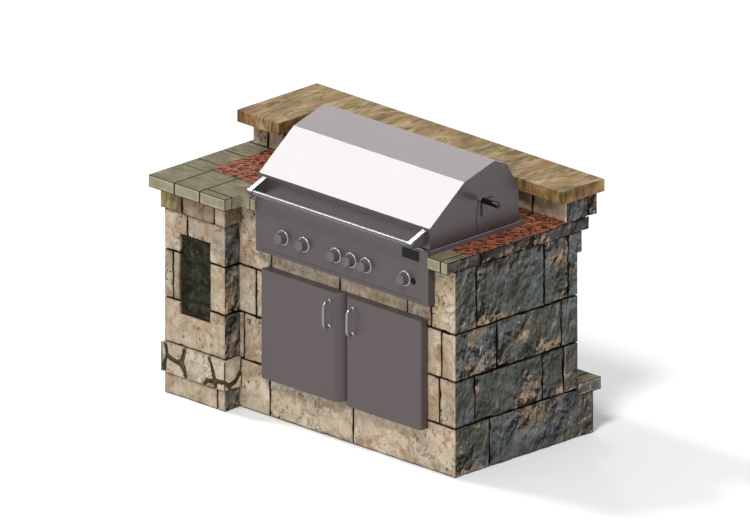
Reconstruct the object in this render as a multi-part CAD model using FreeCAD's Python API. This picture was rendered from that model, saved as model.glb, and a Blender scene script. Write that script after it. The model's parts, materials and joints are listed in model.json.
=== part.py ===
import FreeCAD, Part
import math
import os

# Outdoor kitchen island: a block-built, stone-faced island with a raised bar at the back,
# a built-in gas grill with a hinged hood, and a pair of access doors below it.
# Millimetres. While modelling, X is 0 at the right end face and negative to the left,
# Y is 0 at the front wall face and grows to the back, Z is 0 on the ground.
# The finished pieces are moved so that the origin is under the middle of the whole island.

V = FreeCAD.Vector

# Masonry plan and heights
ISLAND_LENGTH = 1545.3
WALL_DEPTH = 687.6
COUNTER_TOP = 914.4
COUNTER_THICK = 51.1
PILLAR_WIDTH = 339.0
PILLAR_PROUD = 87.3
BAND_PROUD = 12.0
CAP_BAND_HEIGHT = 86.3
RUBBLE_LOW = 88.0
RUBBLE_HEIGHT = 127.0
LEDGE_LOW = 173.4
LEDGE_THICK = 52.2
LEDGE_BASE_PROUD = 88.1
LEDGE_OVERHANG = 40.5
CORBEL_ONE_PROUD = 21.4
CORBEL_TWO_PROUD = 65.1
VENEER = 32.0
BLOCK = 80.0
FLOOR_PAD = 40.0
JOINT = 4.0
ARRIS = 2.5

# Courses of stone: heights of the bed joints, and the upright joints of each course
BED_JOINTS = [204.5, 401.0, 600.0]
FRONT_UPRIGHTS = [[-1042.0, -576.0], [-1188.0, -92.0], [-1120.0, -80.0],
                  [-1033.0, -650.6, -271.0, -137.0]]
RIGHT_UPRIGHTS = [[196.0], [113.0, 492.0, 611.0], [237.0, 598.0], [123.0, 502.0, 637.0]]
LEFT_UPRIGHTS = [[240.0, 520.0], [150.0, 410.0], [290.0, 560.0], [180.0, 470.0]]
BACK_UPRIGHTS = [[-1210.0, -830.0, -420.0], [-1330.0, -980.0, -560.0, -190.0],
                 [-1150.0, -740.0, -330.0], [-1290.0, -900.0, -510.0, -120.0]]
CORBEL_UPRIGHTS = [-1240.0, -860.0, -470.0, -150.0]
PILLAR_BEDS = [403.0, 605.0]
PILLAR_UPRIGHTS = [[-1249.0], [], [-1498.0, -1226.0], [-1418.0]]
CAP_UPRIGHTS = [-1439.3, -1256.7]

# Dark slate panel let into the pillar
NICHE_WIDTH = 171.0
NICHE_FROM_LEFT = 84.3
NICHE_LOW = 347.0
NICHE_HEIGHT = 341.0
NICHE_DEPTH = 11.0
SLATE_JOINT = 3.0
SLATE_JOINT_DEPTH = 2.0

# Rubble band, corner points of each stone from the band's left end and foot
RUBBLE_STONES = [
    [(0, 0), (18, 0), (20, 48), (31, 64), (31, 97), (18, 127), (0, 127)],
    [(36, 78), (60, 68), (92, 58), (116, 72), (126, 100), (131, 127), (24, 127)],
    [(22, 0), (139, 0), (129, 26), (108, 52), (88, 54), (60, 60), (30, 70), (24, 44)],
    [(136, 127), (262, 127), (280, 100), (290, 60), (298, 30), (256, 24), (240, 0),
     (144, 0), (134, 28), (122, 66), (132, 96)],
    [(245, 0), (258, 20), (300, 26), (302, 0)],
    [(270, 127), (363, 127), (363, 40), (338, 36), (304, 34), (296, 64)],
    [(307, 0), (306, 29), (336, 32), (363, 35), (363, 0)],
]
RUBBLE_SIDE_STONES = [
    [(0, 40), (26, 22), (60, 30), (92, 68), (99, 127), (0, 127)],
    [(0, 0), (0, 34), (24, 16), (30, 0)],
    [(36, 0), (32, 16), (62, 24), (99, 66), (99, 0)],
]
RUBBLE_JOINT = 5.0

# Counter: coping tiles round the edge, a granite slab on cement board inside them
OVERHANG = 44.0
TILE_WIDTH = 127.0
TILE_JOINT = 3.0
SLAB_THICK = 20.0
APRON_UPRIGHTS = [139.0, 440.0]
PILLAR_TILE_JOINTS = [-1447.0, -1305.0]
PILLAR_CROSS_JOINT = 39.0
LEFT_TILE_JOINTS = [50.5, 143.0, 289.0, 426.6]
FRONT_TILE_JOINTS = [-1112.0, -40.0]
LEDGE_TILE_JOINTS = [-1290.0, -985.0, -680.0, -372.0, -64.6]
ANGLE_WIDTH = 40.0
ANGLE_THICK = 4.0
ANGLE_CLEAR = 4.0

# Raised bar wall and its top
BAR_WALL_FRONT = 624.8
BAR_WALL_THICK = 171.4
BAR_WALL_HEIGHT = 101.6
BAR_TOP_THICK = 50.8
BAR_TOP_FRONT_REACH = 53.1
BAR_TOP_BACK_REACH = 9.6
BAR_TOP_RIGHT_REACH = 32.0
BAR_TOP_LEFT_REACH = 23.5
BAR_WALL_LEFT_REACH = 14.7
RETURN_THICK = 171.0
RETURN_FRONT = 424.0
RETURN_TOP_REACH = 65.3
RETURN_TOP_WIDTH = 233.1
BAR_FRONT_UPRIGHTS = [-1180.0, -860.0, -520.0, -194.0]
BAR_BACK_UPRIGHTS = [-1260.0, -900.0, -560.0, -230.0]
BAR_END_UPRIGHT = 749.0
RETURN_FRONT_UPRIGHT = -1476.0
RETURN_SIDE_UPRIGHT = 540.0
SLAB_ARRIS = 2.0

# Grill: overall, and its sheet metal
GRILL_FROM_RIGHT = 114.5
GRILL_WIDTH = 967.2
GRILL_BACK = 501.0
TRIM_BEVEL = 2.5
TRIM_HEIGHT = 19.1
SHEET = 2.0
FIREBOX_INSET = 33.0
FIREBOX_FRONT = 25.0
FIREBOX_LIFT = 27.6
GREASE_SLOT_WIDTH = 60.0
GREASE_SLOT_MARGIN = 110.0
CUTOUT_INSET = 15.5
WALL_GAP_INSET = 4.0
FIT = 1.5
WALL_GAP_CLEAR = 9.4

# Control panel, knobs and igniter
PANEL_PROUD = 38.0
PANEL_HEIGHT = 234.1
PANEL_NOSE = 7.0
KNOB_RISE = 89.6
KNOB_SPACINGS = [151.0, 116.2, 179.1, 85.9, 84.2, 218.3]
KNOB_BASE_R = 25.0
KNOB_FACE_R = 22.0
KNOB_LENGTH = 30.0
KNOB_EDGE = 2.5
KNOB_GAP = 2.0
BEZEL_R = 32.0
BEZEL_THICK = 4.0
BEZEL_CLEAR = 1.2
STEM_R = 4.0
STEM_HOLE_R = 5.5
SHAFT_CLEAR = 0.05
IGNITER_FROM_KNOB = 47.8
IGNITER_R = 11.3
IGNITER_PROUD = 7.0
IGNITER_TRAVEL = 3.5
IGNITER_RING = 2.2
IGNITER_DEEP = 16.0

# Gas train
VALVE_WIDTH = 20.0
VALVE_HEIGHT = 26.0
VALVE_BACK = 3.0
PIPE_R = 10.65
PIPE_WALL = 2.6
PIPE_BEND = 24.0
MANIFOLD_DROP = 22.0
MANIFOLD_BACK = 10.0
SUPPLY_FROM_SIDE = 18.5
SUPPLY_BACK = 150.0
SUPPLY_DROP = 189.0
BURNER_R = 14.0
BURNER_WALL = 1.5
BURNER_BACK_GAP = 26.0
BURNER_MOUTH = 6.0
TAMER_LIFT = 54.0
TAMER_WIDTH = 72.0
TAMER_RISE = 26.0
LEDGE_STRIP = 13.0

# Cooking grates, warming rack and back shield
GRATE_SUNK = 9.5
GRATE_ROD = 8.0
GRATE_PITCH = 22.0
GRATE_GAP = 3.0
GRATE_SPLITS = [356.7, 701.7]
RACK_RISE = 116.5
RACK_FRONT = 312.0
RACK_BACK = 412.0
RACK_ROD = 5.0
RACK_RODS = 6
RACK_END_GAP = 30.0
SHIELD_BACK_GAP = 2.0
SHIELD_CLEAR = 2.0

# Drip tray and its runners
TRAY_SIDE_INSET = 43.2
TRAY_HEIGHT = 15.5
TRAY_BACK = 440.0
TRAY_CLEAR = 0.3
TRAY_LIP = 1.8
RUNNER_WIDTH = 10.0
RUNNER_THICK = 1.2
TRAY_TRAVEL = 300.0

# Hood: side outline from the bottom front corner round to the bottom back corner
HOOD_CORNERS = [(-24.7, 0.0), (-24.7, 88.5), (170.0, 237.0), (340.7, 285.5),
                (411.0, 253.0), (473.8, 141.3), (473.8, 7.5), (456.0, 0.0)]
HOOD_GAP = 3.0
HOOD_INSET = 5.0
HOOD_SHEET = 1.6
HOOD_BACK_EDGE = 125.5
PIVOT_Y = 440.0
PIVOT_RISE = 68.5
PIVOT_R = 6.0
PIVOT_PLATE = 3.0
PIVOT_PLATE_WIDTH = 40.0
PIVOT_PLATE_INSET = 14.0
PIVOT_HEAD_R = 10.0
PIVOT_HEAD_THICK = 2.5
BUMPER_R = 8.0
BUMPER_BACK = 40.0
HOOD_HANDLE_Y = -99.0
HOOD_HANDLE_RISE = 32.5
HOOD_HANDLE_R = 11.0
HOOD_HANDLE_WALL = 2.0
GUSSET_R = 14.0
GUSSET_WIDTH = 22.0
GUSSET_INSET = 25.0
GUSSET_TOP = 76.5
GUSSET_FOOT = 13.5

# Rotisserie spit
SPIT_Y = 250.0
SPIT_RISE = 146.5
SPIT_R = 5.0
SPIT_SLOT_CLEAR = 1.0
SLOT_RUN_OUT = 10.0
SPIT_LEFT_INSET = 44.0
SPIT_GRIP_R = 12.0
SPIT_GRIP_GAP = 17.0
SPIT_GRIP_LENGTH = 95.0
SPIT_PLATE_INSET = 20.0
SPIT_PLATE_WIDTH = 40.0
SPIT_PLATE_THICK = 3.0
SPIT_REST_CLEAR = 0.3
COVER_PLATE_FRONT = 265.0
COVER_PLATE_WIDTH = 68.0
COVER_PLATE_RISE = 69.5
COVER_PLATE_HEIGHT = 68.0
COVER_PLATE_THICK = 10.0
FORK_REACH = 46.0
FORK_TINE_R = 2.5
FORK_TINE_LENGTH = 85.0
FORK_HUB_R = 12.0
FORK_HUB_WIDTH = 16.0
FORK_SPACING = 320.0

# Access doors, their frame, hinges and handles
DOORS_WIDTH = 897.2
DOORS_DROP = 281.8
DOOR_HEIGHT = 458.9
DOOR_FRONT = 45.5
DOOR_BACK_GAP = 4.0
DOOR_MEETING_GAP = 6.0
DOOR_BEVEL_WIDTH = 35.0
DOOR_BEVEL_DEPTH = 33.0
DOOR_BEVEL_SWELL = 2.5
DOOR_NOSE = 7.0
DOOR_PIVOT_R = 9.0
DOOR_STILE = 24.0
DOOR_FRAME_INSET = 6.0
OPENING_INSET = 19.0
FLANGE = 3.0
JAMB_DEPTH = 60.0
TAB_R = 8.0
TAB_THICK = 3.0
TAB_CLEAR = 0.3
REBATE_R = 13.5
DOOR_PIN_R = 4.0
DOOR_PIN_LENGTH = 24.0
MAGNET_WIDTH = 28.0
MAGNET_HEIGHT = 20.0
MAGNET_DEPTH = 17.0
PULL_TUBE_R = 6.5
PULL_DROP = 149.6
PULL_CENTRES = 107.0
PULL_STANDOFF = 31.0
PULL_BEND = 20.0
PULL_FOOT_R = 10.0
PULL_FOOT_THICK = 4.0
PULL_FROM_MEETING = 63.0

# Sides of the small round pieces
TURNED_SIDES = 20
SMALL_SIDES = 10
BEND_STEPS = 3

# Worked-out places that several pieces share
LEFT = -ISLAND_LENGTH
COUNTER_LOW = COUNTER_TOP - COUNTER_THICK
CAP_LOW = COUNTER_LOW - CAP_BAND_HEIGHT
PILLAR_RIGHT = LEFT + PILLAR_WIDTH
PILLAR_FRONT = -PILLAR_PROUD
BAND_DEPTH = VENEER + BAND_PROUD
CORE_FRONT = VENEER
CORE_BACK = WALL_DEPTH - VENEER
LEDGE_BASE_BACK = WALL_DEPTH + LEDGE_BASE_PROUD
TILE_INNER_X = LEFT - OVERHANG + TILE_WIDTH
TILE_INNER_Y = TILE_WIDTH - OVERHANG
BAR_WALL_BACK = BAR_WALL_FRONT + BAR_WALL_THICK
BAR_WALL_LEFT = LEFT - BAR_WALL_LEFT_REACH
BAR_TOP_LOW = COUNTER_TOP + BAR_WALL_HEIGHT
RETURN_RIGHT = BAR_WALL_LEFT + RETURN_THICK
GRILL_RIGHT = -GRILL_FROM_RIGHT
GRILL_LEFT = GRILL_RIGHT - GRILL_WIDTH
GRILL_MIDDLE = (GRILL_LEFT + GRILL_RIGHT) / 2
HOOD_LEFT = GRILL_LEFT + HOOD_INSET
HOOD_RIGHT = GRILL_RIGHT - HOOD_INSET
TRIM_TOP = COUNTER_TOP + TRIM_HEIGHT
BOX_LEFT = GRILL_LEFT + FIREBOX_INSET
BOX_RIGHT = GRILL_RIGHT - FIREBOX_INSET
BOX_BACK = GRILL_BACK - FIREBOX_INSET
CUT_LEFT = GRILL_LEFT + CUTOUT_INSET
CUT_RIGHT = GRILL_RIGHT - CUTOUT_INSET
GAP_LEFT = GRILL_LEFT + WALL_GAP_INSET
GAP_RIGHT = GRILL_RIGHT - WALL_GAP_INSET
PANEL_FACE = -PANEL_PROUD
PANEL_LOW = TRIM_TOP - PANEL_HEIGHT
KNOB_HEIGHT = PANEL_LOW + KNOB_RISE
KNOB_PLACES = [GRILL_LEFT + sum(KNOB_SPACINGS[:count + 1]) for count in range(6)]
IGNITER_X = KNOB_PLACES[-1] + IGNITER_FROM_KNOB
FIREBOX_FLOOR = PANEL_LOW + FIREBOX_LIFT
WALL_GAP_LOW = PANEL_LOW - WALL_GAP_CLEAR
SUPPLY_END = KNOB_HEIGHT - SUPPLY_DROP
TAMER_HEIGHT = KNOB_HEIGHT + TAMER_LIFT
GRATE_TOP = TRIM_TOP - GRATE_SUNK
RACK_HEIGHT = TRIM_TOP + RACK_RISE
MANIFOLD_Z = KNOB_HEIGHT - MANIFOLD_DROP
TRAY_LEFT = GRILL_LEFT + TRAY_SIDE_INSET
TRAY_RIGHT = GRILL_RIGHT - TRAY_SIDE_INSET
TRAY_LOW = PANEL_LOW + RUNNER_THICK + TRAY_CLEAR
HOOD_LOW = TRIM_TOP + HOOD_GAP
HOOD_OUTLINE = [(y, HOOD_LOW + rise) for y, rise in HOOD_CORNERS]
HOOD_FRONT = HOOD_CORNERS[0][0]
PIVOT_Z = HOOD_LOW + PIVOT_RISE
SPIT_Z = HOOD_LOW + SPIT_RISE
HOOD_HANDLE_Z = HOOD_LOW + HOOD_HANDLE_RISE
COVER_PLATE_LOW = HOOD_LOW + COVER_PLATE_RISE
SHIELD_TOP = HOOD_LOW + HOOD_BACK_EDGE - SHIELD_CLEAR
DOORS_LEFT = GRILL_MIDDLE - DOORS_WIDTH / 2
DOORS_RIGHT = GRILL_MIDDLE + DOORS_WIDTH / 2
DOOR_TOP = COUNTER_TOP - DOORS_DROP
DOOR_LOW = DOOR_TOP - DOOR_HEIGHT
PULL_LOW = DOOR_TOP - PULL_DROP
DOOR_WIDTH = (DOORS_WIDTH - DOOR_MEETING_GAP) / 2
OPEN_LEFT = DOORS_LEFT + OPENING_INSET
OPEN_RIGHT = DOORS_RIGHT - OPENING_INSET
OPEN_LOW = DOOR_LOW + OPENING_INSET
OPEN_TOP = DOOR_TOP - OPENING_INSET
HINGE_Y = -DOOR_BACK_GAP - DOOR_PIVOT_R
FAR = 3000.0
ORIGIN = V((LEFT - OVERHANG + BAR_TOP_RIGHT_REACH) / 2,
           (PILLAR_FRONT - OVERHANG + LEDGE_BASE_BACK + LEDGE_OVERHANG) / 2, 0)


def box(x0, x1, y0, y1, z0, z1):
    """Block between two opposite corners."""
    return Part.makeBox(x1 - x0, y1 - y0, z1 - z0, V(x0, y0, z0))


def prism(points, direction):
    """Straight solid on a flat outline of corner points."""
    return Part.Face(Part.makePolygon(points + points[:1])).extrude(direction)


def plan_prism(outline, low, high):
    """Upright solid on an outline seen from above."""
    return prism([V(x, y, low) for x, y in outline], V(0, 0, high - low))


def side_prism(outline, left, right):
    """Solid of one side outline, from its left to its right face."""
    return prism([V(left, y, z) for y, z in outline], V(right - left, 0, 0))


def rod(start, end, radius):
    """Round bar between two points."""
    along = end - start
    return Part.makeCylinder(radius, along.Length, start, along)


def tube(start, end, radius, wall):
    """Round tube between two points."""
    return rod(start, end, radius).cut(rod(start, end, radius - wall))


def ring_points(centre, axis, radius, sides, height=0):
    """Corners of a many-sided ring about an axis, some height along it."""
    turn = FreeCAD.Rotation(V(0, 0, 1), axis)
    return [centre + turn.multVec(V(radius * math.cos(2 * math.pi * k / sides),
                                    radius * math.sin(2 * math.pi * k / sides), height))
            for k in range(sides)]


def thin_rod(start, end, radius):
    """Small bar with few sides."""
    ring = ring_points(start, end - start, radius, SMALL_SIDES)
    return prism(ring, end - start)


def small_bore(start, end, radius):
    """Cutter with few sides that leaves a small hole of at least the radius."""
    return thin_rod(start, end, radius / math.cos(math.pi / SMALL_SIDES))


def closed_solid(faces):
    """Solid inside faces that meet edge to edge."""
    shell = Part.Shell(faces)
    shell.sewShape()
    solid = Part.Solid(shell)
    if solid.Volume < 0:
        solid.reverse()
    return solid.removeSplitter()


def turned(outline, centre, axis):
    """Many-sided solid turned about an axis from its (radius, height) outline."""
    rings = [ring_points(centre, axis, radius, TURNED_SIDES, height)
             for radius, height in outline]
    faces = []
    for (low, first), (high, second) in zip(zip(outline, rings),
                                            zip(outline[1:] + outline[:1],
                                                rings[1:] + rings[:1])):
        if low[0] == 0 and high[0] == 0:
            continue
        for k in range(TURNED_SIDES):
            after = (k + 1) % TURNED_SIDES
            corners = [first[k], second[k]]
            if high[0] > 0:
                corners.append(second[after])
            if low[0] > 0:
                corners.append(first[after])
            faces.append(Part.Face(Part.makePolygon(corners + corners[:1])))
    return closed_solid(faces)


def mirrored(shape):
    """The same piece on the other side of the grill's middle."""
    return shape.mirror(V(GRILL_MIDDLE, 0, 0), V(1, 0, 0))


def on_plane(shape, axis, place):
    """Edges of a solid that lie wholly in the plane axis = place."""
    return [edge for edge in shape.Edges
            if all(abs(vertex.Point[axis] - place) < 1e-4 for vertex in edge.Vertexes)]


def solids_of(shapes):
    """Flat list of the solids in some shapes, without slivers."""
    return [solid for shape in shapes for solid in shape.Solids if solid.Volume > 200]


# Stone facing

FACINGS = {"front": (1, 1), "back": (1, -1), "left": (0, 1), "right": (0, -1)}


def wall_point(facing, plane, along, depth, height):
    """Point given by its place along a wall and its depth behind the wall's face."""
    run, inward = FACINGS[facing]
    if run == 1:
        return V(along, plane + inward * depth, height)
    return V(plane + inward * depth, along, height)


def stone(facing, plane, span, heights, depth, mitres=(0, 0)):
    """One facing stone, with bevelled arrises and mitred where it turns a corner."""
    start, end = span
    low, high = heights
    outline = [(start, 0), (end, 0)]
    if mitres[1]:
        outline.append((end - mitres[1], mitres[1]))
    if mitres[1] < depth:
        outline.append((end - mitres[1], depth))
    if mitres[0] < depth:
        outline.append((start + mitres[0], depth))
    if mitres[0]:
        outline.append((start + mitres[0], mitres[0]))
    points = [wall_point(facing, plane, along, deep, low) for along, deep in outline]
    solid = prism(points, V(0, 0, high - low))
    return solid.makeChamfer(ARRIS, on_plane(solid, FACINGS[facing][0], plane))


def course(facing, plane, span, heights, depth, uprights, mitres=(0, 0)):
    """One course of stones, parted at its upright joints."""
    start, end = span
    cuts = [place for place in uprights if start + depth < place < end - depth]
    edges = [start] + cuts + [end]
    stones = []
    for index in range(len(edges) - 1):
        first = index == 0
        last = index == len(edges) - 2
        begin = edges[index] if first else edges[index] + JOINT / 2
        finish = edges[index + 1] if last else edges[index + 1] - JOINT / 2
        turn = (mitres[0] if first else 0, mitres[1] if last else 0)
        stones.append(stone(facing, plane, (begin, finish), heights, depth, turn))
    return stones


def coursed_wall(facing, plane, span, low, high, beds, uprights, mitres=(0, 0), depth=VENEER):
    """Courses of stone from the foot of a wall to its top."""
    inner_beds = [bed for bed in beds if low < bed < high]
    levels = [low] + inner_beds + [high]
    skipped = len([bed for bed in beds if bed <= low])
    stones = []
    for index in range(len(levels) - 1):
        bottom = levels[index] + (JOINT / 2 if index else 0)
        top = levels[index + 1] - (JOINT / 2 if index < len(levels) - 2 else 0)
        joints = uprights[index + skipped]
        stones += course(facing, plane, span, (bottom, top), depth, joints, mitres)
    return stones


def door_opening():
    """Space through the front wall behind the doors."""
    return box(OPEN_LEFT, OPEN_RIGHT, -1, CORE_FRONT + BLOCK + 1, OPEN_LOW, OPEN_TOP)


def grill_gap():
    """Space through the front wall below the counter for the grill."""
    return box(GAP_LEFT, GAP_RIGHT, -1, CORE_FRONT + BLOCK + 1, WALL_GAP_LOW, COUNTER_LOW + 1)


def front_stones():
    """Sandstone facing of the front wall, round the doors and the grill."""
    span = (PILLAR_RIGHT - VENEER, 0)
    stones = coursed_wall("front", 0, span, 0, COUNTER_LOW, BED_JOINTS, FRONT_UPRIGHTS,
                          (0, VENEER))
    openings = door_opening().fuse(grill_gap())
    return [shape.cut(openings) for shape in stones]


def right_stones():
    """Dark split-faced stone of the right end, from the ground to the counter."""
    low_end = BED_JOINTS[0]
    stones = course("right", 0, (0, WALL_DEPTH), (0, low_end - JOINT / 2), VENEER,
                    RIGHT_UPRIGHTS[0], (VENEER, 0))
    stones += coursed_wall("right", 0, (0, WALL_DEPTH), low_end + JOINT / 2, COUNTER_LOW,
                           BED_JOINTS, RIGHT_UPRIGHTS, (VENEER, VENEER))
    stones.append(stone("right", 0, (WALL_DEPTH, LEDGE_BASE_BACK), (0, LEDGE_LOW), VENEER,
                        (0, VENEER)))
    stones.append(corbel_end(0, -VENEER))
    return stones


def corbel_end(outer, inner):
    """Slanted end stone that closes the lower corbel at a mitred corner."""
    depth = abs(inner - outer)
    back = WALL_DEPTH + CORBEL_ONE_PROUD
    outline = [(outer, WALL_DEPTH), (outer, back), (inner, back - depth),
               (inner, WALL_DEPTH - depth)]
    return plan_prism(outline, CAP_LOW, COUNTER_LOW)


def left_stones():
    """Dark stone of the left end behind the pillar, with the band along its head."""
    low_end = BED_JOINTS[0]
    stones = course("left", LEFT, (0, WALL_DEPTH), (0, low_end - JOINT / 2), VENEER,
                    LEFT_UPRIGHTS[0])
    stones += coursed_wall("left", LEFT, (0, WALL_DEPTH), low_end + JOINT / 2, CAP_LOW,
                           BED_JOINTS, LEFT_UPRIGHTS, (0, VENEER))
    stones.append(stone("left", LEFT, (WALL_DEPTH, LEDGE_BASE_BACK), (0, LEDGE_LOW), VENEER,
                        (0, VENEER)))
    span = (PILLAR_FRONT - BAND_PROUD, WALL_DEPTH + CORBEL_ONE_PROUD)
    stones += course("left", LEFT - BAND_PROUD, span, (CAP_LOW, COUNTER_LOW), BAND_DEPTH,
                     LEFT_UPRIGHTS[3], (BAND_DEPTH, BAND_DEPTH))
    return stones


def back_stones():
    """Sandstone facing of the back, its plinth and its two corbel courses."""
    stones = course("back", LEDGE_BASE_BACK, (LEFT, 0), (0, LEDGE_LOW), VENEER,
                    BACK_UPRIGHTS[0], (VENEER, VENEER))
    stones += coursed_wall("back", WALL_DEPTH, (LEFT, 0), BED_JOINTS[0] + JOINT / 2, CAP_LOW,
                           BED_JOINTS, BACK_UPRIGHTS, (VENEER, VENEER))
    stones += course("back", WALL_DEPTH + CORBEL_ONE_PROUD, (LEFT - BAND_PROUD, 0),
                     (CAP_LOW, COUNTER_LOW), VENEER + CORBEL_ONE_PROUD, CORBEL_UPRIGHTS,
                     (BAND_DEPTH, VENEER))
    stones += course("back", WALL_DEPTH + CORBEL_TWO_PROUD,
                     (LEFT - BAND_PROUD, -SLAB_THICK),
                     (COUNTER_LOW, COUNTER_TOP), VENEER + CORBEL_TWO_PROUD, CORBEL_UPRIGHTS)
    return stones


def pillar_levels():
    """Foot and head of each plain course of the pillar."""
    rubble_top = RUBBLE_LOW + RUBBLE_HEIGHT
    return [(0, RUBBLE_LOW), (rubble_top, PILLAR_BEDS[0]), tuple(PILLAR_BEDS),
            (PILLAR_BEDS[1], CAP_LOW)]


def niche_space():
    """Recess for the slate panel, through the facing."""
    left = LEFT + NICHE_FROM_LEFT
    return box(left, left + NICHE_WIDTH, PILLAR_FRONT - 1, PILLAR_FRONT + VENEER,
               NICHE_LOW, NICHE_LOW + NICHE_HEIGHT)


def pillar_front_stones():
    """Sandstone face of the pillar, cut round the slate panel."""
    stones = []
    for (low, high), uprights in zip(pillar_levels(), PILLAR_UPRIGHTS):
        heights = (low + (JOINT / 2 if low else 0), high - JOINT / 2)
        stones += course("front", PILLAR_FRONT, (LEFT, PILLAR_RIGHT), heights, VENEER,
                         uprights, (VENEER, VENEER))
    stones += cap_band_stones()[-1:]
    return [shape.cut(niche_space()) for shape in stones]


def cap_band_stones():
    """Proud band under the counter across the pillar's face."""
    span = (LEFT - BAND_PROUD, PILLAR_RIGHT + BAND_PROUD)
    return course("front", PILLAR_FRONT - BAND_PROUD, span, (CAP_LOW, COUNTER_LOW),
                  BAND_DEPTH, CAP_UPRIGHTS, (BAND_DEPTH, BAND_DEPTH))


def pillar_side_stones():
    """Dark stone of the pillar's two sides."""
    stones = []
    for low, high in pillar_levels():
        heights = (low + (JOINT / 2 if low else 0), high - JOINT / 2)
        for facing, plane in (("right", PILLAR_RIGHT), ("left", LEFT)):
            stones.append(stone(facing, plane, (PILLAR_FRONT, 0), heights, VENEER,
                                (VENEER, 0)))
    stones.append(stone("right", PILLAR_RIGHT + BAND_PROUD, (PILLAR_FRONT - BAND_PROUD, 0),
                        (CAP_LOW, COUNTER_LOW), BAND_DEPTH, (BAND_DEPTH, 0)))
    return stones


def rubble_stone(facing, plane, start, corners):
    """One many-sided stone of the rubble band, drawn back by half a joint."""
    points = [wall_point(facing, plane, start + along, 0, RUBBLE_LOW + high)
              for along, high in corners]
    outline = Part.makePolygon(points + points[:1]).makeOffset2D(-RUBBLE_JOINT / 2, 2)
    inward = wall_point(facing, plane, 0, BAND_DEPTH, 0) - wall_point(facing, plane, 0, 0, 0)
    solid = Part.Face(outline).extrude(inward)
    return solid.makeChamfer(ARRIS, on_plane(solid, FACINGS[facing][0], plane))


def rubble_corner(side):
    """Corner prism that parts the front rubble from the rubble of one side."""
    outer = PILLAR_RIGHT + BAND_PROUD if side > 0 else LEFT - BAND_PROUD
    inner = outer - side * BAND_DEPTH
    front = PILLAR_FRONT - BAND_PROUD
    outline = [(outer, front - 1), (outer, front), (inner, front + BAND_DEPTH),
               (inner, front - 1)]
    return plan_prism(outline, 0, COUNTER_LOW)


def rubble_band_stones():
    """Pale rubble stones of the proud band round the pillar's foot."""
    front = PILLAR_FRONT - BAND_PROUD
    left = LEFT - BAND_PROUD
    right = PILLAR_RIGHT + BAND_PROUD
    stones = []
    for corners in RUBBLE_STONES:
        shape = rubble_stone("front", front, left, corners)
        for side, outer in ((1, right), (-1, left)):
            inner = outer - side * BAND_DEPTH
            corner = [(outer, front), (outer, front + BAND_DEPTH + 1),
                      (inner, front + BAND_DEPTH + 1), (inner, front + BAND_DEPTH)]
            shape = shape.cut(plan_prism(corner, 0, COUNTER_LOW))
        stones.append(shape)
    for facing, plane, side in (("right", right, 1), ("left", left, -1)):
        for corners in RUBBLE_SIDE_STONES:
            shape = rubble_stone(facing, plane, front, corners)
            stones.append(shape.cut(rubble_corner(side)))
    return stones


def slate_panel():
    """Dark slate in the niche, scored with block joints."""
    left = LEFT + NICHE_FROM_LEFT
    front = PILLAR_FRONT + NICHE_DEPTH
    panel = box(left, left + NICHE_WIDTH, front, PILLAR_FRONT + VENEER, NICHE_LOW,
                NICHE_LOW + NICHE_HEIGHT)
    for share in (0.2, 0.42, 0.96):
        height = NICHE_LOW + share * NICHE_HEIGHT
        panel = panel.cut(box(left, left + NICHE_WIDTH, front - 1, front + SLATE_JOINT_DEPTH,
                              height, height + SLATE_JOINT))
    return [panel]


# Block core and its supports

def core_blocks():
    """Concrete block walls, pads and cores behind the stone."""
    left_end = LEFT + VENEER + BLOCK
    front = CORE_FRONT + BLOCK
    back = CORE_BACK - BLOCK
    right_end = -VENEER - BLOCK
    walls = [box(right_end, -VENEER, CORE_FRONT, CORE_BACK, 0, COUNTER_LOW),
             box(LEFT + VENEER, left_end, CORE_FRONT, CORE_BACK, 0, COUNTER_LOW),
             box(left_end, right_end, back, CORE_BACK, 0, COUNTER_LOW),
             box(left_end, GAP_LEFT, CORE_FRONT, front, OPEN_TOP, COUNTER_LOW),
             box(GAP_RIGHT, right_end, CORE_FRONT, front, OPEN_TOP, COUNTER_LOW),
             box(left_end, OPEN_LEFT, CORE_FRONT, front, 0, OPEN_TOP),
             box(OPEN_LEFT, OPEN_RIGHT, CORE_FRONT, front, 0, OPEN_LOW),
             box(OPEN_RIGHT, right_end, CORE_FRONT, front, 0, OPEN_TOP)]
    pillar = box(LEFT + VENEER, PILLAR_RIGHT - VENEER, PILLAR_FRONT + VENEER, CORE_FRONT, 0,
                 COUNTER_LOW)
    pad = box(left_end, right_end, front, back, 0, FLOOR_PAD)
    plinth = box(LEFT + VENEER, -VENEER, CORE_BACK, LEDGE_BASE_BACK - VENEER, 0, LEDGE_LOW)
    upstand = box(LEFT + VENEER, -VENEER, CORE_BACK, WALL_DEPTH, LEDGE_LOW,
                  BED_JOINTS[0] + JOINT / 2)
    return walls + [pillar, pad, plinth, upstand] + bar_wall_core()


def bar_wall_core():
    """Block core of the raised bar wall and its return."""
    left = BAR_WALL_LEFT + VENEER
    long_wall = box(left, -VENEER, BAR_WALL_FRONT + VENEER, BAR_WALL_BACK - VENEER,
                    COUNTER_TOP, BAR_TOP_LOW)
    return_wall = box(left, RETURN_RIGHT - VENEER, RETURN_FRONT + VENEER,
                      BAR_WALL_FRONT + VENEER, COUNTER_TOP, BAR_TOP_LOW)
    return [long_wall, return_wall]


def door_lintel():
    """Concrete lintel over the doorway, borne on the jamb blocks."""
    return box(GAP_LEFT, GAP_RIGHT, CORE_FRONT, CORE_FRONT + BLOCK, OPEN_TOP, WALL_GAP_LOW)


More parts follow.
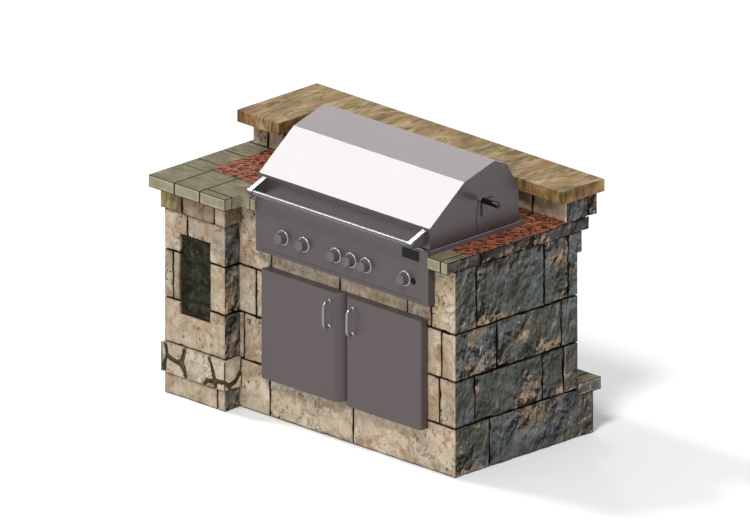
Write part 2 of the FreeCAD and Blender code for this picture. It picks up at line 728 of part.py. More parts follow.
def support_angle():
    """Steel angle under the counter at the left side of the grill cut-out."""
    right = CUT_LEFT - ANGLE_CLEAR
    left = right - ANGLE_WIDTH
    front = CORE_FRONT + BLOCK
    back = CORE_BACK - BLOCK
    flat = box(left, right, front, back, COUNTER_LOW - ANGLE_THICK, COUNTER_LOW)
    web = box(left, left + ANGLE_THICK, front, back, COUNTER_LOW - ANGLE_WIDTH,
              COUNTER_LOW)
    return [flat.fuse(web).removeSplitter()]


# Counter, ledge and bar

def counter_cutout():
    """Hole through the counter for the grill, and the slot for its control panel."""
    hole = box(CUT_LEFT, CUT_RIGHT, -FAR, GRILL_BACK - CUTOUT_INSET, COUNTER_LOW - 1,
               COUNTER_TOP + 1)
    slot = box(GRILL_LEFT - FIT, GRILL_RIGHT + FIT, -FAR, FIT, COUNTER_LOW - 1,
               COUNTER_TOP + 1)
    return hole.fuse(slot)


def apron_blank():
    """Dark stone strip on the right edge, mitred under the slab and at the front."""
    top = COUNTER_TOP - SLAB_THICK
    outline = [(-SLAB_THICK, COUNTER_LOW), (0, COUNTER_LOW), (0, COUNTER_TOP),
               (-SLAB_THICK, top)]
    length = OVERHANG + WALL_DEPTH + CORBEL_TWO_PROUD
    strip = prism([V(x, -OVERHANG, z) for x, z in outline], V(0, length, 0))
    corner = [(0, -OVERHANG), (-SLAB_THICK, -OVERHANG + SLAB_THICK),
              (-SLAB_THICK - 1, -OVERHANG - 1), (0, -OVERHANG - 1)]
    return strip.cut(plan_prism(corner, COUNTER_LOW - 1, COUNTER_TOP + 1))


def side_apron():
    """The strip's stones, parted at the upright joints."""
    edges = [-OVERHANG] + APRON_UPRIGHTS + [WALL_DEPTH + CORBEL_TWO_PROUD]
    pieces = []
    for index in range(len(edges) - 1):
        start = edges[index] + (JOINT / 2 if index else 0)
        end = edges[index + 1] - (JOINT / 2 if index < len(edges) - 2 else 0)
        part = box(-SLAB_THICK, 0, start, end, COUNTER_LOW, COUNTER_TOP)
        pieces.append(apron_blank().common(part))
    return pieces


def tiles_between(edges, span, across_x):
    """Coping tiles in a strip, parted at the given edges."""
    tiles = []
    for index in range(len(edges) - 1):
        start = edges[index] + (TILE_JOINT / 2 if index else 0)
        end = edges[index + 1] - (TILE_JOINT / 2 if index < len(edges) - 2 else 0)
        if across_x:
            tiles.append(box(start, end, span[0], span[1], COUNTER_LOW, COUNTER_TOP))
        else:
            tiles.append(box(span[0], span[1], start, end, COUNTER_LOW, COUNTER_TOP))
    return tiles


def edge_tiles():
    """Coping tiles along the left and front edges of the counter."""
    outer_left = LEFT - OVERHANG
    outer_front = PILLAR_FRONT - OVERHANG
    pillar_end = PILLAR_RIGHT + OVERHANG
    first, second = PILLAR_TILE_JOINTS
    left_row = tiles_between([LEFT_TILE_JOINTS[0] + TILE_JOINT] + LEFT_TILE_JOINTS[1:]
                             + [CORE_BACK], (outer_left, TILE_INNER_X), False)
    pillar_row = tiles_between([outer_left, first, second, pillar_end],
                               (outer_front, TILE_INNER_Y), True)
    corner_step = box(TILE_INNER_X - FAR, TILE_INNER_X, LEFT_TILE_JOINTS[0], FAR, 0, FAR)
    pillar_row[0] = pillar_row[0].cut(corner_step)
    cross = outer_front + PILLAR_CROSS_JOINT
    pillar_row[2] = pillar_row[2].cut(box(second, pillar_end, cross, cross + TILE_JOINT, 0,
                                          FAR))
    front_row = tiles_between([pillar_end] + FRONT_TILE_JOINTS + [0],
                              (-OVERHANG, TILE_INNER_Y), True)
    tiles = left_row + pillar_row + front_row
    return [tile.cut(counter_cutout()).cut(apron_blank()) for tile in tiles]


def granite_slab():
    """Granite round three sides of the grill, its right edge mitred to the apron."""
    slab = box(TILE_INNER_X, 0, TILE_INNER_Y, CORE_BACK, COUNTER_TOP - SLAB_THICK,
               COUNTER_TOP)
    return [slab.cut(counter_cutout()).cut(apron_blank())]


def counter_board():
    """Cement board that carries the granite."""
    board = box(TILE_INNER_X, -SLAB_THICK, TILE_INNER_Y, CORE_BACK, COUNTER_LOW,
                COUNTER_TOP - SLAB_THICK)
    return [board.cut(counter_cutout())]


def ledge_tiles():
    """Foot ledge slabs along the back."""
    edges = [LEFT] + LEDGE_TILE_JOINTS + [0]
    slabs = []
    for index in range(len(edges) - 1):
        start = edges[index] + (TILE_JOINT / 2 if index else 0)
        end = edges[index + 1] - (TILE_JOINT / 2 if index < len(edges) - 2 else 0)
        slab = box(start, end, WALL_DEPTH, LEDGE_BASE_BACK + LEDGE_OVERHANG, LEDGE_LOW,
                   LEDGE_LOW + LEDGE_THICK)
        slabs.append(slab.makeChamfer(SLAB_ARRIS, on_plane(slab, 2, LEDGE_LOW + LEDGE_THICK)))
    return slabs


def bar_sandstone():
    """Sandstone faces of the bar wall: front, back and the return's end."""
    heights = (COUNTER_TOP, BAR_TOP_LOW)
    stones = course("front", BAR_WALL_FRONT, (RETURN_RIGHT - VENEER, 0), heights, VENEER,
                    BAR_FRONT_UPRIGHTS, (0, VENEER))
    stones += course("back", BAR_WALL_BACK, (BAR_WALL_LEFT, 0), heights, VENEER,
                     BAR_BACK_UPRIGHTS, (VENEER, VENEER))
    stones += course("front", RETURN_FRONT, (BAR_WALL_LEFT, RETURN_RIGHT), heights, VENEER,
                     [RETURN_FRONT_UPRIGHT], (VENEER, VENEER))
    return stones


def bar_dark_stone():
    """Dark faces of the bar wall: both ends and the return's inner side."""
    heights = (COUNTER_TOP, BAR_TOP_LOW)
    stones = course("right", 0, (BAR_WALL_FRONT, BAR_WALL_BACK), heights, VENEER,
                    [BAR_END_UPRIGHT], (VENEER, VENEER))
    stones += course("left", BAR_WALL_LEFT, (RETURN_FRONT, BAR_WALL_BACK), heights, VENEER,
                     [RETURN_SIDE_UPRIGHT], (VENEER, VENEER))
    stones += course("right", RETURN_RIGHT, (RETURN_FRONT, BAR_WALL_FRONT), heights, VENEER,
                     [RETURN_SIDE_UPRIGHT], (VENEER, 0))
    return stones


def bar_top():
    """L-shaped bar slab with eased top edges."""
    left = LEFT - BAR_WALL_LEFT_REACH - BAR_TOP_LEFT_REACH
    front = BAR_WALL_FRONT - BAR_TOP_FRONT_REACH
    return_front = RETURN_FRONT - RETURN_TOP_REACH
    corner = left + RETURN_TOP_WIDTH
    back = BAR_WALL_BACK + BAR_TOP_BACK_REACH
    outline = [(left, return_front), (corner, return_front), (corner, front),
               (BAR_TOP_RIGHT_REACH, front), (BAR_TOP_RIGHT_REACH, back), (left, back)]
    top = BAR_TOP_LOW + BAR_TOP_THICK
    slab = plan_prism(outline, BAR_TOP_LOW, top)
    return [slab.makeChamfer(SLAB_ARRIS, on_plane(slab, 2, top))]


# Grill body

def firebox():
    """Open-topped steel box, and the ledges for grates, tamers and burners in it."""
    outer = box(BOX_LEFT, BOX_RIGHT, FIREBOX_FRONT, BOX_BACK, FIREBOX_FLOOR,
                TRIM_TOP - SHEET)
    inner = box(BOX_LEFT + SHEET, BOX_RIGHT - SHEET, FIREBOX_FRONT + SHEET,
                BOX_BACK - SHEET, FIREBOX_FLOOR + SHEET, TRIM_TOP)
    middle = (FIREBOX_FRONT + BOX_BACK) / 2
    slot = box(BOX_LEFT + GREASE_SLOT_MARGIN, BOX_RIGHT - GREASE_SLOT_MARGIN,
               middle - GREASE_SLOT_WIDTH / 2, middle + GREASE_SLOT_WIDTH / 2,
               FIREBOX_FLOOR - 1, FIREBOX_FLOOR + SHEET + 1)
    shell = outer.cut(inner).cut(slot)
    for place in KNOB_PLACES:
        shell = shell.cut(small_bore(V(place, FIREBOX_FRONT - 1, KNOB_HEIGHT),
                                     V(place, FIREBOX_FRONT + SHEET + 1, KNOB_HEIGHT),
                                     BURNER_R + TRAY_CLEAR))
    return [shell] + firebox_ledges()


def firebox_ledges():
    """Strips along the firebox's front and back walls."""
    front = FIREBOX_FRONT + SHEET
    back = BOX_BACK - SHEET
    grate_ledge = GRATE_TOP - 2 * GRATE_ROD
    burner_ledge = KNOB_HEIGHT - BURNER_R
    burner_reach = BURNER_BACK_GAP + 2 * LEDGE_STRIP
    strips = [(back - burner_reach, back, burner_ledge)]
    for height in (grate_ledge, TAMER_HEIGHT):
        strips += [(front, front + LEDGE_STRIP, height), (back - LEDGE_STRIP, back, height)]
    return [box(BOX_LEFT + SHEET, BOX_RIGHT - SHEET, start, end, height - SHEET, height)
            for start, end, height in strips]


def grill_trim():
    """Top frame of the grill: four folded strips, each with a lip on the counter."""
    front = PANEL_FACE + PANEL_NOSE + SHEET
    outer = box(GRILL_LEFT, GRILL_RIGHT, front, GRILL_BACK, COUNTER_TOP, TRIM_TOP)
    edges = [edge for edge in on_plane(outer, 2, TRIM_TOP)
             if edge.CenterOfMass.y > (front + GRILL_BACK) / 2 - 1]
    outer = outer.makeChamfer(TRIM_BEVEL, edges)
    below = box(GRILL_LEFT + SHEET, GRILL_RIGHT - SHEET, front - 1, GRILL_BACK - SHEET,
                COUNTER_TOP - 1, TRIM_TOP - SHEET)
    hole = box(BOX_LEFT + SHEET, BOX_RIGHT - SHEET, FIREBOX_FRONT + SHEET,
               BOX_BACK - SHEET, COUNTER_TOP, TRIM_TOP + 1)
    ring = outer.cut(below).cut(hole)
    left = box(GRILL_LEFT, BOX_LEFT + SHEET, front, GRILL_BACK, COUNTER_TOP, TRIM_TOP)
    front_strip = box(BOX_LEFT + SHEET, BOX_RIGHT - SHEET, front, FIREBOX_FRONT + SHEET,
                      COUNTER_TOP, TRIM_TOP)
    back_strip = box(BOX_LEFT + SHEET, BOX_RIGHT - SHEET, BOX_BACK - SHEET, GRILL_BACK,
                     COUNTER_TOP, TRIM_TOP)
    return [ring.common(part) for part in (left, mirrored(left), front_strip, back_strip)]


def control_panel():
    """Folded front panel with a rounded top nose, side returns and the tray notch."""
    back = -FIT
    outer = box(GRILL_LEFT, GRILL_RIGHT, PANEL_FACE, back, PANEL_LOW, TRIM_TOP)
    nose = [edge for edge in outer.Edges
            if all(abs(v.Point.y - PANEL_FACE) < 1e-4 and abs(v.Point.z - TRIM_TOP) < 1e-4
                   for v in edge.Vertexes)]
    outer = outer.makeFillet(PANEL_NOSE, nose)
    inner = box(GRILL_LEFT + SHEET, GRILL_RIGHT - SHEET, PANEL_FACE + SHEET, FAR,
                PANEL_LOW - 1, TRIM_TOP - SHEET)
    inner_nose = [edge for edge in inner.Edges
                  if all(abs(v.Point.y - PANEL_FACE - SHEET) < 1e-4
                         and abs(v.Point.z - TRIM_TOP + SHEET) < 1e-4
                         for v in edge.Vertexes)]
    shell = outer.cut(inner.makeFillet(PANEL_NOSE - SHEET, inner_nose))
    trim_room = box(GRILL_LEFT - 1, GRILL_RIGHT + 1, PANEL_FACE + PANEL_NOSE + SHEET, FAR,
                    COUNTER_TOP, TRIM_TOP + 1)
    notch = box(TRAY_LEFT - FIT, TRAY_RIGHT + FIT, PANEL_FACE - 1, FAR, PANEL_LOW - 1,
                TRAY_LOW + TRAY_HEIGHT + FIT)
    shell = shell.cut(trim_room).cut(notch)
    for place in KNOB_PLACES:
        shell = shell.cut(small_bore(V(place, PANEL_FACE - 1, KNOB_HEIGHT),
                                     V(place, PANEL_FACE + SHEET + 1, KNOB_HEIGHT),
                                     STEM_HOLE_R))
    ring = IGNITER_R + IGNITER_RING
    barrel = turned([(0, 1), (ring, 1), (ring, -1 - SHEET), (0, -1 - SHEET)],
                    V(IGNITER_X, PANEL_FACE, KNOB_HEIGHT), V(0, -1, 0))
    return [shell.cut(barrel)]


def knob_bezels():
    """Raised steel ring round each knob."""
    outline = [(KNOB_BASE_R + BEZEL_CLEAR, 0), (BEZEL_R, 0),
               (BEZEL_R - BEZEL_THICK / 2, BEZEL_THICK),
               (KNOB_BASE_R + BEZEL_CLEAR, BEZEL_THICK)]
    return [turned(outline, V(place, PANEL_FACE, KNOB_HEIGHT), V(0, -1, 0))
            for place in KNOB_PLACES]


def knob(place):
    """Tapered knob on its valve stem."""
    start = PANEL_FACE - KNOB_GAP
    outline = [(0, 0), (KNOB_BASE_R, 0), (KNOB_BASE_R, KNOB_GAP),
               (KNOB_FACE_R + KNOB_EDGE / 4, KNOB_LENGTH - KNOB_EDGE),
               (KNOB_FACE_R - KNOB_EDGE, KNOB_LENGTH), (0, KNOB_LENGTH)]
    body = turned(outline, V(place, start, KNOB_HEIGHT), V(0, -1, 0))
    stem = rod(V(place, start - KNOB_LENGTH / 2, KNOB_HEIGHT),
               V(place, VALVE_BACK - VALVE_WIDTH / 2, KNOB_HEIGHT), STEM_R)
    return [body.fuse(stem)]


def burner_valves():
    """Valve bodies that sit on the manifold, each with its stem bore and gas nozzle."""
    valves = []
    for place in KNOB_PLACES:
        body = box(place - VALVE_WIDTH / 2, place + VALVE_WIDTH / 2,
                   PANEL_FACE + SHEET + FIT, VALVE_BACK, MANIFOLD_Z,
                   KNOB_HEIGHT + VALVE_HEIGHT / 2)
        nozzle = thin_rod(V(place, VALVE_BACK, KNOB_HEIGHT),
                          V(place, VALVE_BACK + 2 * BURNER_MOUTH, KNOB_HEIGHT),
                          BURNER_R - BURNER_WALL - TRAY_CLEAR)
        bore = small_bore(V(place, PANEL_FACE, KNOB_HEIGHT),
                          V(place, VALVE_BACK - VALVE_WIDTH / 2, KNOB_HEIGHT),
                          STEM_R + SHAFT_CLEAR)
        saddle = thin_rod(V(place - VALVE_WIDTH, -MANIFOLD_BACK, MANIFOLD_Z),
                          V(place + VALVE_WIDTH, -MANIFOLD_BACK, MANIFOLD_Z), PIPE_R)
        valves.append(body.fuse(nozzle).cut(bore).cut(saddle))
    return valves


def gas_manifold():
    """Supply pipe: along the valves, back beside the firebox and down to its inlet."""
    side = GRILL_RIGHT - SUPPLY_FROM_SIDE
    start = V(KNOB_PLACES[0] - 2 * VALVE_WIDTH, -MANIFOLD_BACK, MANIFOLD_Z)
    first = V(side, -MANIFOLD_BACK, MANIFOLD_Z)
    second = V(side, SUPPLY_BACK, MANIFOLD_Z)
    end = V(side, SUPPLY_BACK, SUPPLY_END)
    path = bent_path([start, first, second, end], PIPE_BEND)
    bore = bent_bar(path, PIPE_R - PIPE_WALL)
    return [bent_bar(path, PIPE_R).cut(bore)]


def bent_path(points, radius):
    """Points of straight runs joined by quarter bends of short chords."""
    path = [points[0]]
    for index in range(1, len(points) - 1):
        corner = points[index]
        inward = (corner - points[index - 1]).normalize()
        outward = (points[index + 1] - corner).normalize()
        centre = corner + (outward - inward) * radius
        for step in range(BEND_STEPS + 1):
            turn = math.pi / 2 * step / BEND_STEPS
            path.append(centre - outward * (radius * math.cos(turn))
                        + inward * (radius * math.sin(turn)))
    return path + points[-1:]


def bent_bar(path, radius):
    """Bar with few sides along a bent path, mitred at each turn."""
    ring = ring_points(path[0], path[1] - path[0], radius, SMALL_SIDES)
    rings = [ring]
    for index in range(1, len(path)):
        here = path[index]
        inward = (here - path[index - 1]).normalize()
        across = inward
        if index + 1 < len(path):
            across = inward + (path[index + 1] - here).normalize()
        ring = [point + inward * ((here - point).dot(across) / inward.dot(across))
                for point in ring]
        rings.append(ring)
    faces = [Part.Face(Part.makePolygon(end + end[:1])) for end in (rings[0], rings[-1])]
    for first, second in zip(rings, rings[1:]):
        for k in range(SMALL_SIDES):
            after = (k + 1) % SMALL_SIDES
            corners = [first[k], second[k], second[after], first[after]]
            faces.append(Part.Face(Part.makePolygon(corners + corners[:1])))
    return closed_solid(faces)


def burners():
    """Straight tube burners, from the valve nozzles to the back ledge."""
    tubes = []
    for place in KNOB_PLACES:
        start = V(place, VALVE_BACK + BURNER_MOUTH, KNOB_HEIGHT)
        end = V(place, BOX_BACK - SHEET - BURNER_BACK_GAP, KNOB_HEIGHT)
        outer = thin_rod(start, end, BURNER_R)
        inner = thin_rod(start, end - V(0, BURNER_WALL, 0), BURNER_R - BURNER_WALL)
        tubes.append(outer.cut(inner))
    return tubes


def flame_tamers():
    """Inverted-V plates over the burners, resting on their ledges."""
    front = FIREBOX_FRONT + SHEET + FIT
    back = BOX_BACK - SHEET - FIT
    half = TAMER_WIDTH / 2
    plates = []
    for place in KNOB_PLACES:
        outline = [(-half, 0), (0, TAMER_RISE), (half, 0), (half - SHEET, 0),
                   (0, TAMER_RISE - SHEET), (-half + SHEET, 0)]
        points = [V(place + x, front, TAMER_HEIGHT + z) for x, z in outline]
        plates.append(prism(points, V(0, back - front, 0)))
    return plates


def grate(left, right):
    """Cooking grate: square rods welded across three rails."""
    front = FIREBOX_FRONT + SHEET + GRATE_GAP
    back = BOX_BACK - SHEET - GRATE_GAP
    axis = GRATE_TOP - GRATE_ROD / 2
    count = int((right - left - GRATE_ROD) // GRATE_PITCH)
    pitch = (right - left - GRATE_ROD) / count
    rail_low = GRATE_TOP - 2 * GRATE_ROD
    shape = box(left, right, front, front + GRATE_ROD, rail_low, axis)
    for start in ((front + back - GRATE_ROD) / 2, back - GRATE_ROD):
        shape = shape.fuse(box(left, right, start, start + GRATE_ROD, rail_low, axis))
    rods = []
    for index in range(count + 1):
        middle = left + GRATE_ROD / 2 + index * pitch
        half = GRATE_ROD / 2
        rods.append(box(middle - half, middle + half, front, back, axis - half, axis + half))
    return [shape.multiFuse(rods).removeSplitter()]


def warming_rack():
    """Raised wire shelf at the back, on two bent end frames."""
    left = GRILL_LEFT + RACK_END_GAP
    right = GRILL_RIGHT - RACK_END_GAP
    shape = None
    for index in range(RACK_RODS):
        y = RACK_FRONT + index * (RACK_BACK - RACK_FRONT) / (RACK_RODS - 1)
        wire = box(left, right, y - RACK_ROD / 2, y + RACK_ROD / 2, RACK_HEIGHT - RACK_ROD,
                   RACK_HEIGHT)
        shape = wire if shape is None else shape.fuse(wire)
    for x in (left, right - RACK_ROD):
        shape = shape.fuse(box(x, x + RACK_ROD, RACK_FRONT - RACK_ROD / 2,
                               RACK_BACK + RACK_ROD / 2, RACK_HEIGHT - 2 * RACK_ROD,
                               RACK_HEIGHT - RACK_ROD))
        for y in (RACK_FRONT, RACK_BACK):
            shape = shape.fuse(box(x, x + RACK_ROD, y - RACK_ROD / 2, y + RACK_ROD / 2,
                                   TRIM_TOP, RACK_HEIGHT - RACK_ROD))
    return [shape.removeSplitter()]


def back_shield():
    """Fixed sheet behind the cooking space, with a foot on the trim."""
    left = BOX_LEFT + SHEET
    right = BOX_RIGHT - SHEET
    back = BOX_BACK - SHIELD_BACK_GAP
    sheet = box(left, right, back - SHEET, back, TRIM_TOP, SHIELD_TOP)
    foot = box(left, right, back - SHEET, back + LEDGE_STRIP, TRIM_TOP, TRIM_TOP + SHEET)
    return [sheet.fuse(foot).removeSplitter()]


def igniter_housing():
    """Black ring and barrel that guide the igniter button."""
    centre = V(IGNITER_X, PANEL_FACE, KNOB_HEIGHT)
    bore = IGNITER_R + TRAY_CLEAR
    outline = [(bore, -IGNITER_DEEP), (IGNITER_R + IGNITER_RING, -IGNITER_DEEP),
               (IGNITER_R + IGNITER_RING, 0), (IGNITER_R + 2 * IGNITER_RING, 0),
               (bore, IGNITER_RING)]
    barrel = turned(outline, centre, V(0, -1, 0))
    ring = IGNITER_R + IGNITER_RING
    cap = turned([(0, -IGNITER_DEEP), (ring, -IGNITER_DEEP), (ring, -IGNITER_DEEP - SHEET),
                  (0, -IGNITER_DEEP - SHEET)], centre, V(0, -1, 0))
    return [barrel.fuse(cap).removeSplitter()]


def igniter_button():
    """Domed push button of the spark igniter."""
    foot = -IGNITER_DEEP + IGNITER_TRAVEL + TRAY_CLEAR
    outline = [(0, foot), (IGNITER_R, foot), (IGNITER_R, IGNITER_PROUD - IGNITER_RING),
               (IGNITER_R - IGNITER_RING, IGNITER_PROUD), (0, IGNITER_PROUD)]
    return [turned(outline, V(IGNITER_X, PANEL_FACE, KNOB_HEIGHT), V(0, -1, 0))]


# Drip tray

def drip_tray():
    """Shallow pan with a front lip that shows under the control panel."""
    high = TRAY_LOW + TRAY_HEIGHT
    outer = box(TRAY_LEFT, TRAY_RIGHT, PANEL_FACE, TRAY_BACK, TRAY_LOW, high)
    inner = box(TRAY_LEFT + SHEET, TRAY_RIGHT - SHEET, PANEL_FACE + TRAY_LIP,
                TRAY_BACK - SHEET, TRAY_LOW + SHEET, high + 1)
    return [outer.cut(inner)]


def tray_runners():
    """Angle runners under the firebox that carry the tray's edges."""
    front = PANEL_FACE + SHEET + FIT
    outer = TRAY_LEFT - TRAY_CLEAR - RUNNER_THICK
    web = box(outer, outer + RUNNER_THICK, FIREBOX_FRONT, TRAY_BACK, PANEL_LOW, FIREBOX_FLOOR)
    shelf = box(outer, outer + RUNNER_WIDTH, front, TRAY_BACK, PANEL_LOW,
                PANEL_LOW + RUNNER_THICK)
    shelf = shelf.cut(web)
    return [web, shelf, mirrored(web), mirrored(shelf)]


# Hood

def hood_shell():
    """Folded hood with closed sides, open below, slotted for the spit on the right."""
    solid = side_prism(HOOD_OUTLINE, HOOD_LEFT, HOOD_RIGHT)
    bottom = [face for face in solid.Faces if abs(face.CenterOfMass.z - HOOD_LOW) < 1e-4]
    shell = solid.makeThickness(bottom, -HOOD_SHEET, 1e-3)
    heel, back = HOOD_OUTLINE[-1][0], HOOD_OUTLINE[-2][0]
    doorway = box(HOOD_LEFT + HOOD_SHEET, HOOD_RIGHT - HOOD_SHEET, heel - 5 * HOOD_SHEET,
                  back + 1, HOOD_LOW - 1, HOOD_LOW + HOOD_BACK_EDGE)
    return [shell.cut(doorway).cut(spit_slot())]


def spit_slot():
    """Curved slot in the right side, an arc about the hood pivot, that clears the spit."""
    pivot = V(HOOD_RIGHT - 2 * HOOD_SHEET, PIVOT_Y, PIVOT_Z)
    reach = math.hypot(SPIT_Y - PIVOT_Y, SPIT_Z - PIVOT_Z)
    start = math.degrees(math.atan2(SPIT_Z - PIVOT_Z, PIVOT_Y - SPIT_Y))
    end = math.degrees(math.asin((HOOD_LOW - SLOT_RUN_OUT - PIVOT_Z) / reach))
    half = SPIT_R + SPIT_SLOT_CLEAR
    thick = 4 * HOOD_SHEET

    def at(angle, radius):
        turn = math.radians(angle)
        return V(pivot.x, pivot.y - radius * math.cos(turn), pivot.z + radius * math.sin(turn))

    middle = (start + end) / 2
    outer = Part.Arc(at(start, reach + half), at(middle, reach + half), at(end, reach + half))
    inner = Part.Arc(at(end, reach - half), at(middle, reach - half), at(start, reach - half))
    edges = [outer.toShape(), Part.LineSegment(outer.EndPoint, inner.StartPoint).toShape(),
             inner.toShape(), Part.LineSegment(inner.EndPoint, outer.StartPoint).toShape()]
    strip = Part.Face(Part.Wire(edges)).extrude(V(thick, 0, 0))
    return strip.fuse(rod(at(start, reach), at(start, reach) + V(thick, 0, 0), half))


def spit_cover_plate():
    """Raised plate behind the spit on the hood's right side."""
    plate = box(HOOD_RIGHT, HOOD_RIGHT + COVER_PLATE_THICK, COVER_PLATE_FRONT,
                COVER_PLATE_FRONT + COVER_PLATE_WIDTH, COVER_PLATE_LOW,
                COVER_PLATE_LOW + COVER_PLATE_HEIGHT)
    outer = HOOD_RIGHT + COVER_PLATE_THICK
    return [plate.makeChamfer(SHEET, on_plane(plate, 0, outer))]


def hood_handle():
    """Tube handle across the hood's front."""
    start = V(GRILL_LEFT + GUSSET_INSET, HOOD_HANDLE_Y, HOOD_HANDLE_Z)
    end = V(GRILL_RIGHT - GUSSET_INSET, HOOD_HANDLE_Y, HOOD_HANDLE_Z)
    return [tube(start, end, HOOD_HANDLE_R, HOOD_HANDLE_WALL)]


def hood_gusset():
    """Handle bracket: a gusset that tapers from the hood to a round nose on the tube."""
    front = HOOD_FRONT
    top = HOOD_LOW + GUSSET_TOP
    right = GRILL_RIGHT - GUSSET_INSET
    left = right - GUSSET_WIDTH
    nose_y, nose_z = HOOD_HANDLE_Y, HOOD_HANDLE_Z
    slope = math.atan2(top - nose_z - GUSSET_R, front - nose_y)
    upper = (nose_y - GUSSET_R * math.sin(slope), nose_z + GUSSET_R * math.cos(slope))
    lower = (nose_y, nose_z - GUSSET_R)
    start = V(left, front, top)
    end = V(left, front, HOOD_LOW + GUSSET_FOOT)
    nose = Part.Arc(V(left, *upper), V(left, nose_y - GUSSET_R, nose_z), V(left, *lower))
    edges = [Part.LineSegment(start, V(left, *upper)).toShape(), nose.toShape(),
             Part.LineSegment(V(left, *lower), end).toShape(),
             Part.LineSegment(end, start).toShape()]
    plate = Part.Face(Part.Wire(edges)).extrude(V(GUSSET_WIDTH, 0, 0))
    hole = rod(V(left - 1, nose_y, nose_z), V(right + 1, nose_y, nose_z), HOOD_HANDLE_R)
    return plate.cut(hole)


def hood_gussets():
    """Both handle brackets."""
    right = hood_gusset()
    return [right, mirrored(right)]


def hood_pivots():
    """Studs welded inside the hood's sides, each with a head behind its bracket."""
    inner = HOOD_RIGHT - HOOD_SHEET
    plate_out = GRILL_RIGHT - PIVOT_PLATE_INSET
    plate_in = plate_out - PIVOT_PLATE
    end = plate_in - TRAY_CLEAR
    stud = rod(V(inner, PIVOT_Y, PIVOT_Z), V(end, PIVOT_Y, PIVOT_Z), PIVOT_R)
    head = thin_rod(V(end, PIVOT_Y, PIVOT_Z), V(end - PIVOT_HEAD_THICK, PIVOT_Y, PIVOT_Z),
                    PIVOT_HEAD_R)
    collar = thin_rod(V(inner, PIVOT_Y, PIVOT_Z),
                      V(inner - PIVOT_HEAD_THICK, PIVOT_Y, PIVOT_Z), PIVOT_HEAD_R)
    right = stud.fuse(head).fuse(collar).removeSplitter()
    return [right, mirrored(right)]


def pivot_brackets():
    """Upright plates on the trim that carry the hood's pivots."""
    right = GRILL_RIGHT - PIVOT_PLATE_INSET
    left = right - PIVOT_PLATE
    half = PIVOT_PLATE_WIDTH / 2
    plate = box(left, right, PIVOT_Y - half, PIVOT_Y + half, TRIM_TOP, PIVOT_Z)
    plate = plate.fuse(rod(V(left, PIVOT_Y, PIVOT_Z), V(right, PIVOT_Y, PIVOT_Z), half))
    foot = box(BOX_RIGHT - SHEET, right, PIVOT_Y - half, PIVOT_Y + half, TRIM_TOP,
               TRIM_TOP + PIVOT_PLATE)
    hole = rod(V(left - 1, PIVOT_Y, PIVOT_Z), V(right + 1, PIVOT_Y, PIVOT_Z),
               PIVOT_R + SHAFT_CLEAR)
    bracket = plate.fuse(foot).cut(hole).removeSplitter()
    return [bracket, mirrored(bracket)]


def hood_bumpers():
    """Pads on the trim that the closed hood's front edge comes down on."""
    x = HOOD_RIGHT - BUMPER_R
    y = HOOD_FRONT + BUMPER_BACK
    pad = thin_rod(V(x, y, TRIM_TOP), V(x, y, HOOD_LOW - TRAY_CLEAR), BUMPER_R)
    return [pad, mirrored(pad)]


# Rotisserie

def spit_rod():
    """Square-ended steel spit across the cooking space."""
    left = GRILL_LEFT + SPIT_LEFT_INSET - SPIT_PLATE_INSET
    end = GRILL_RIGHT + SPIT_GRIP_GAP + SPIT_GRIP_LENGTH / 2
    return [rod(V(left, SPIT_Y, SPIT_Z), V(end, SPIT_Y, SPIT_Z), SPIT_R)]


def spit_grip():
    """Black grip on the spit's right end."""
    start = V(GRILL_RIGHT + SPIT_GRIP_GAP, SPIT_Y, SPIT_Z)
    edge = 3.0
    outline = [(0, 0), (SPIT_GRIP_R - edge / 2, 0), (SPIT_GRIP_R, edge),
               (SPIT_GRIP_R, SPIT_GRIP_LENGTH - edge),
               (SPIT_GRIP_R - edge / 2, SPIT_GRIP_LENGTH), (0, SPIT_GRIP_LENGTH)]
    return [turned(outline, start, V(1, 0, 0)).cut(spit_rod()[0])]


def spit_brackets():
    """Notched plates on the trim that carry the spit."""
    right = GRILL_RIGHT - SPIT_PLATE_INSET
    left = right - SPIT_PLATE_THICK
    half = SPIT_PLATE_WIDTH / 2
    plate = box(left, right, SPIT_Y - half, SPIT_Y + half, TRIM_TOP, SPIT_Z + SPIT_R)
    foot = box(BOX_RIGHT - SHEET, right, SPIT_Y - half, SPIT_Y + half, TRIM_TOP,
               TRIM_TOP + SPIT_PLATE_THICK)
    seat_r = SPIT_R + SPIT_REST_CLEAR
    seat = rod(V(left - 1, SPIT_Y, SPIT_Z), V(right + 1, SPIT_Y, SPIT_Z), seat_r)
    mouth = box(left - 1, right + 1, SPIT_Y - seat_r, SPIT_Y + seat_r, SPIT_Z,
                SPIT_Z + SPIT_R + 1)
    bracket = plate.fuse(foot).cut(seat).cut(mouth).removeSplitter()
    return [bracket, mirrored(bracket)]


def fork_tine(root, side):
    """Square tine that tapers to its tip."""
    arm = FORK_TINE_R
    outline = [V(root.x, root.y - arm, root.z - arm), V(root.x, root.y + arm, root.z - arm),
               V(root.x, root.y + arm, root.z + arm), V(root.x, root.y - arm, root.z + arm)]
    tip = root + V(side * FORK_TINE_LENGTH, 0, 0)
    end = [tip + (corner - root) * 0.25 for corner in outline]
    wires = [Part.makePolygon(points + points[:1]) for points in (outline, end)]
    return Part.makeLoft(wires, True, True)


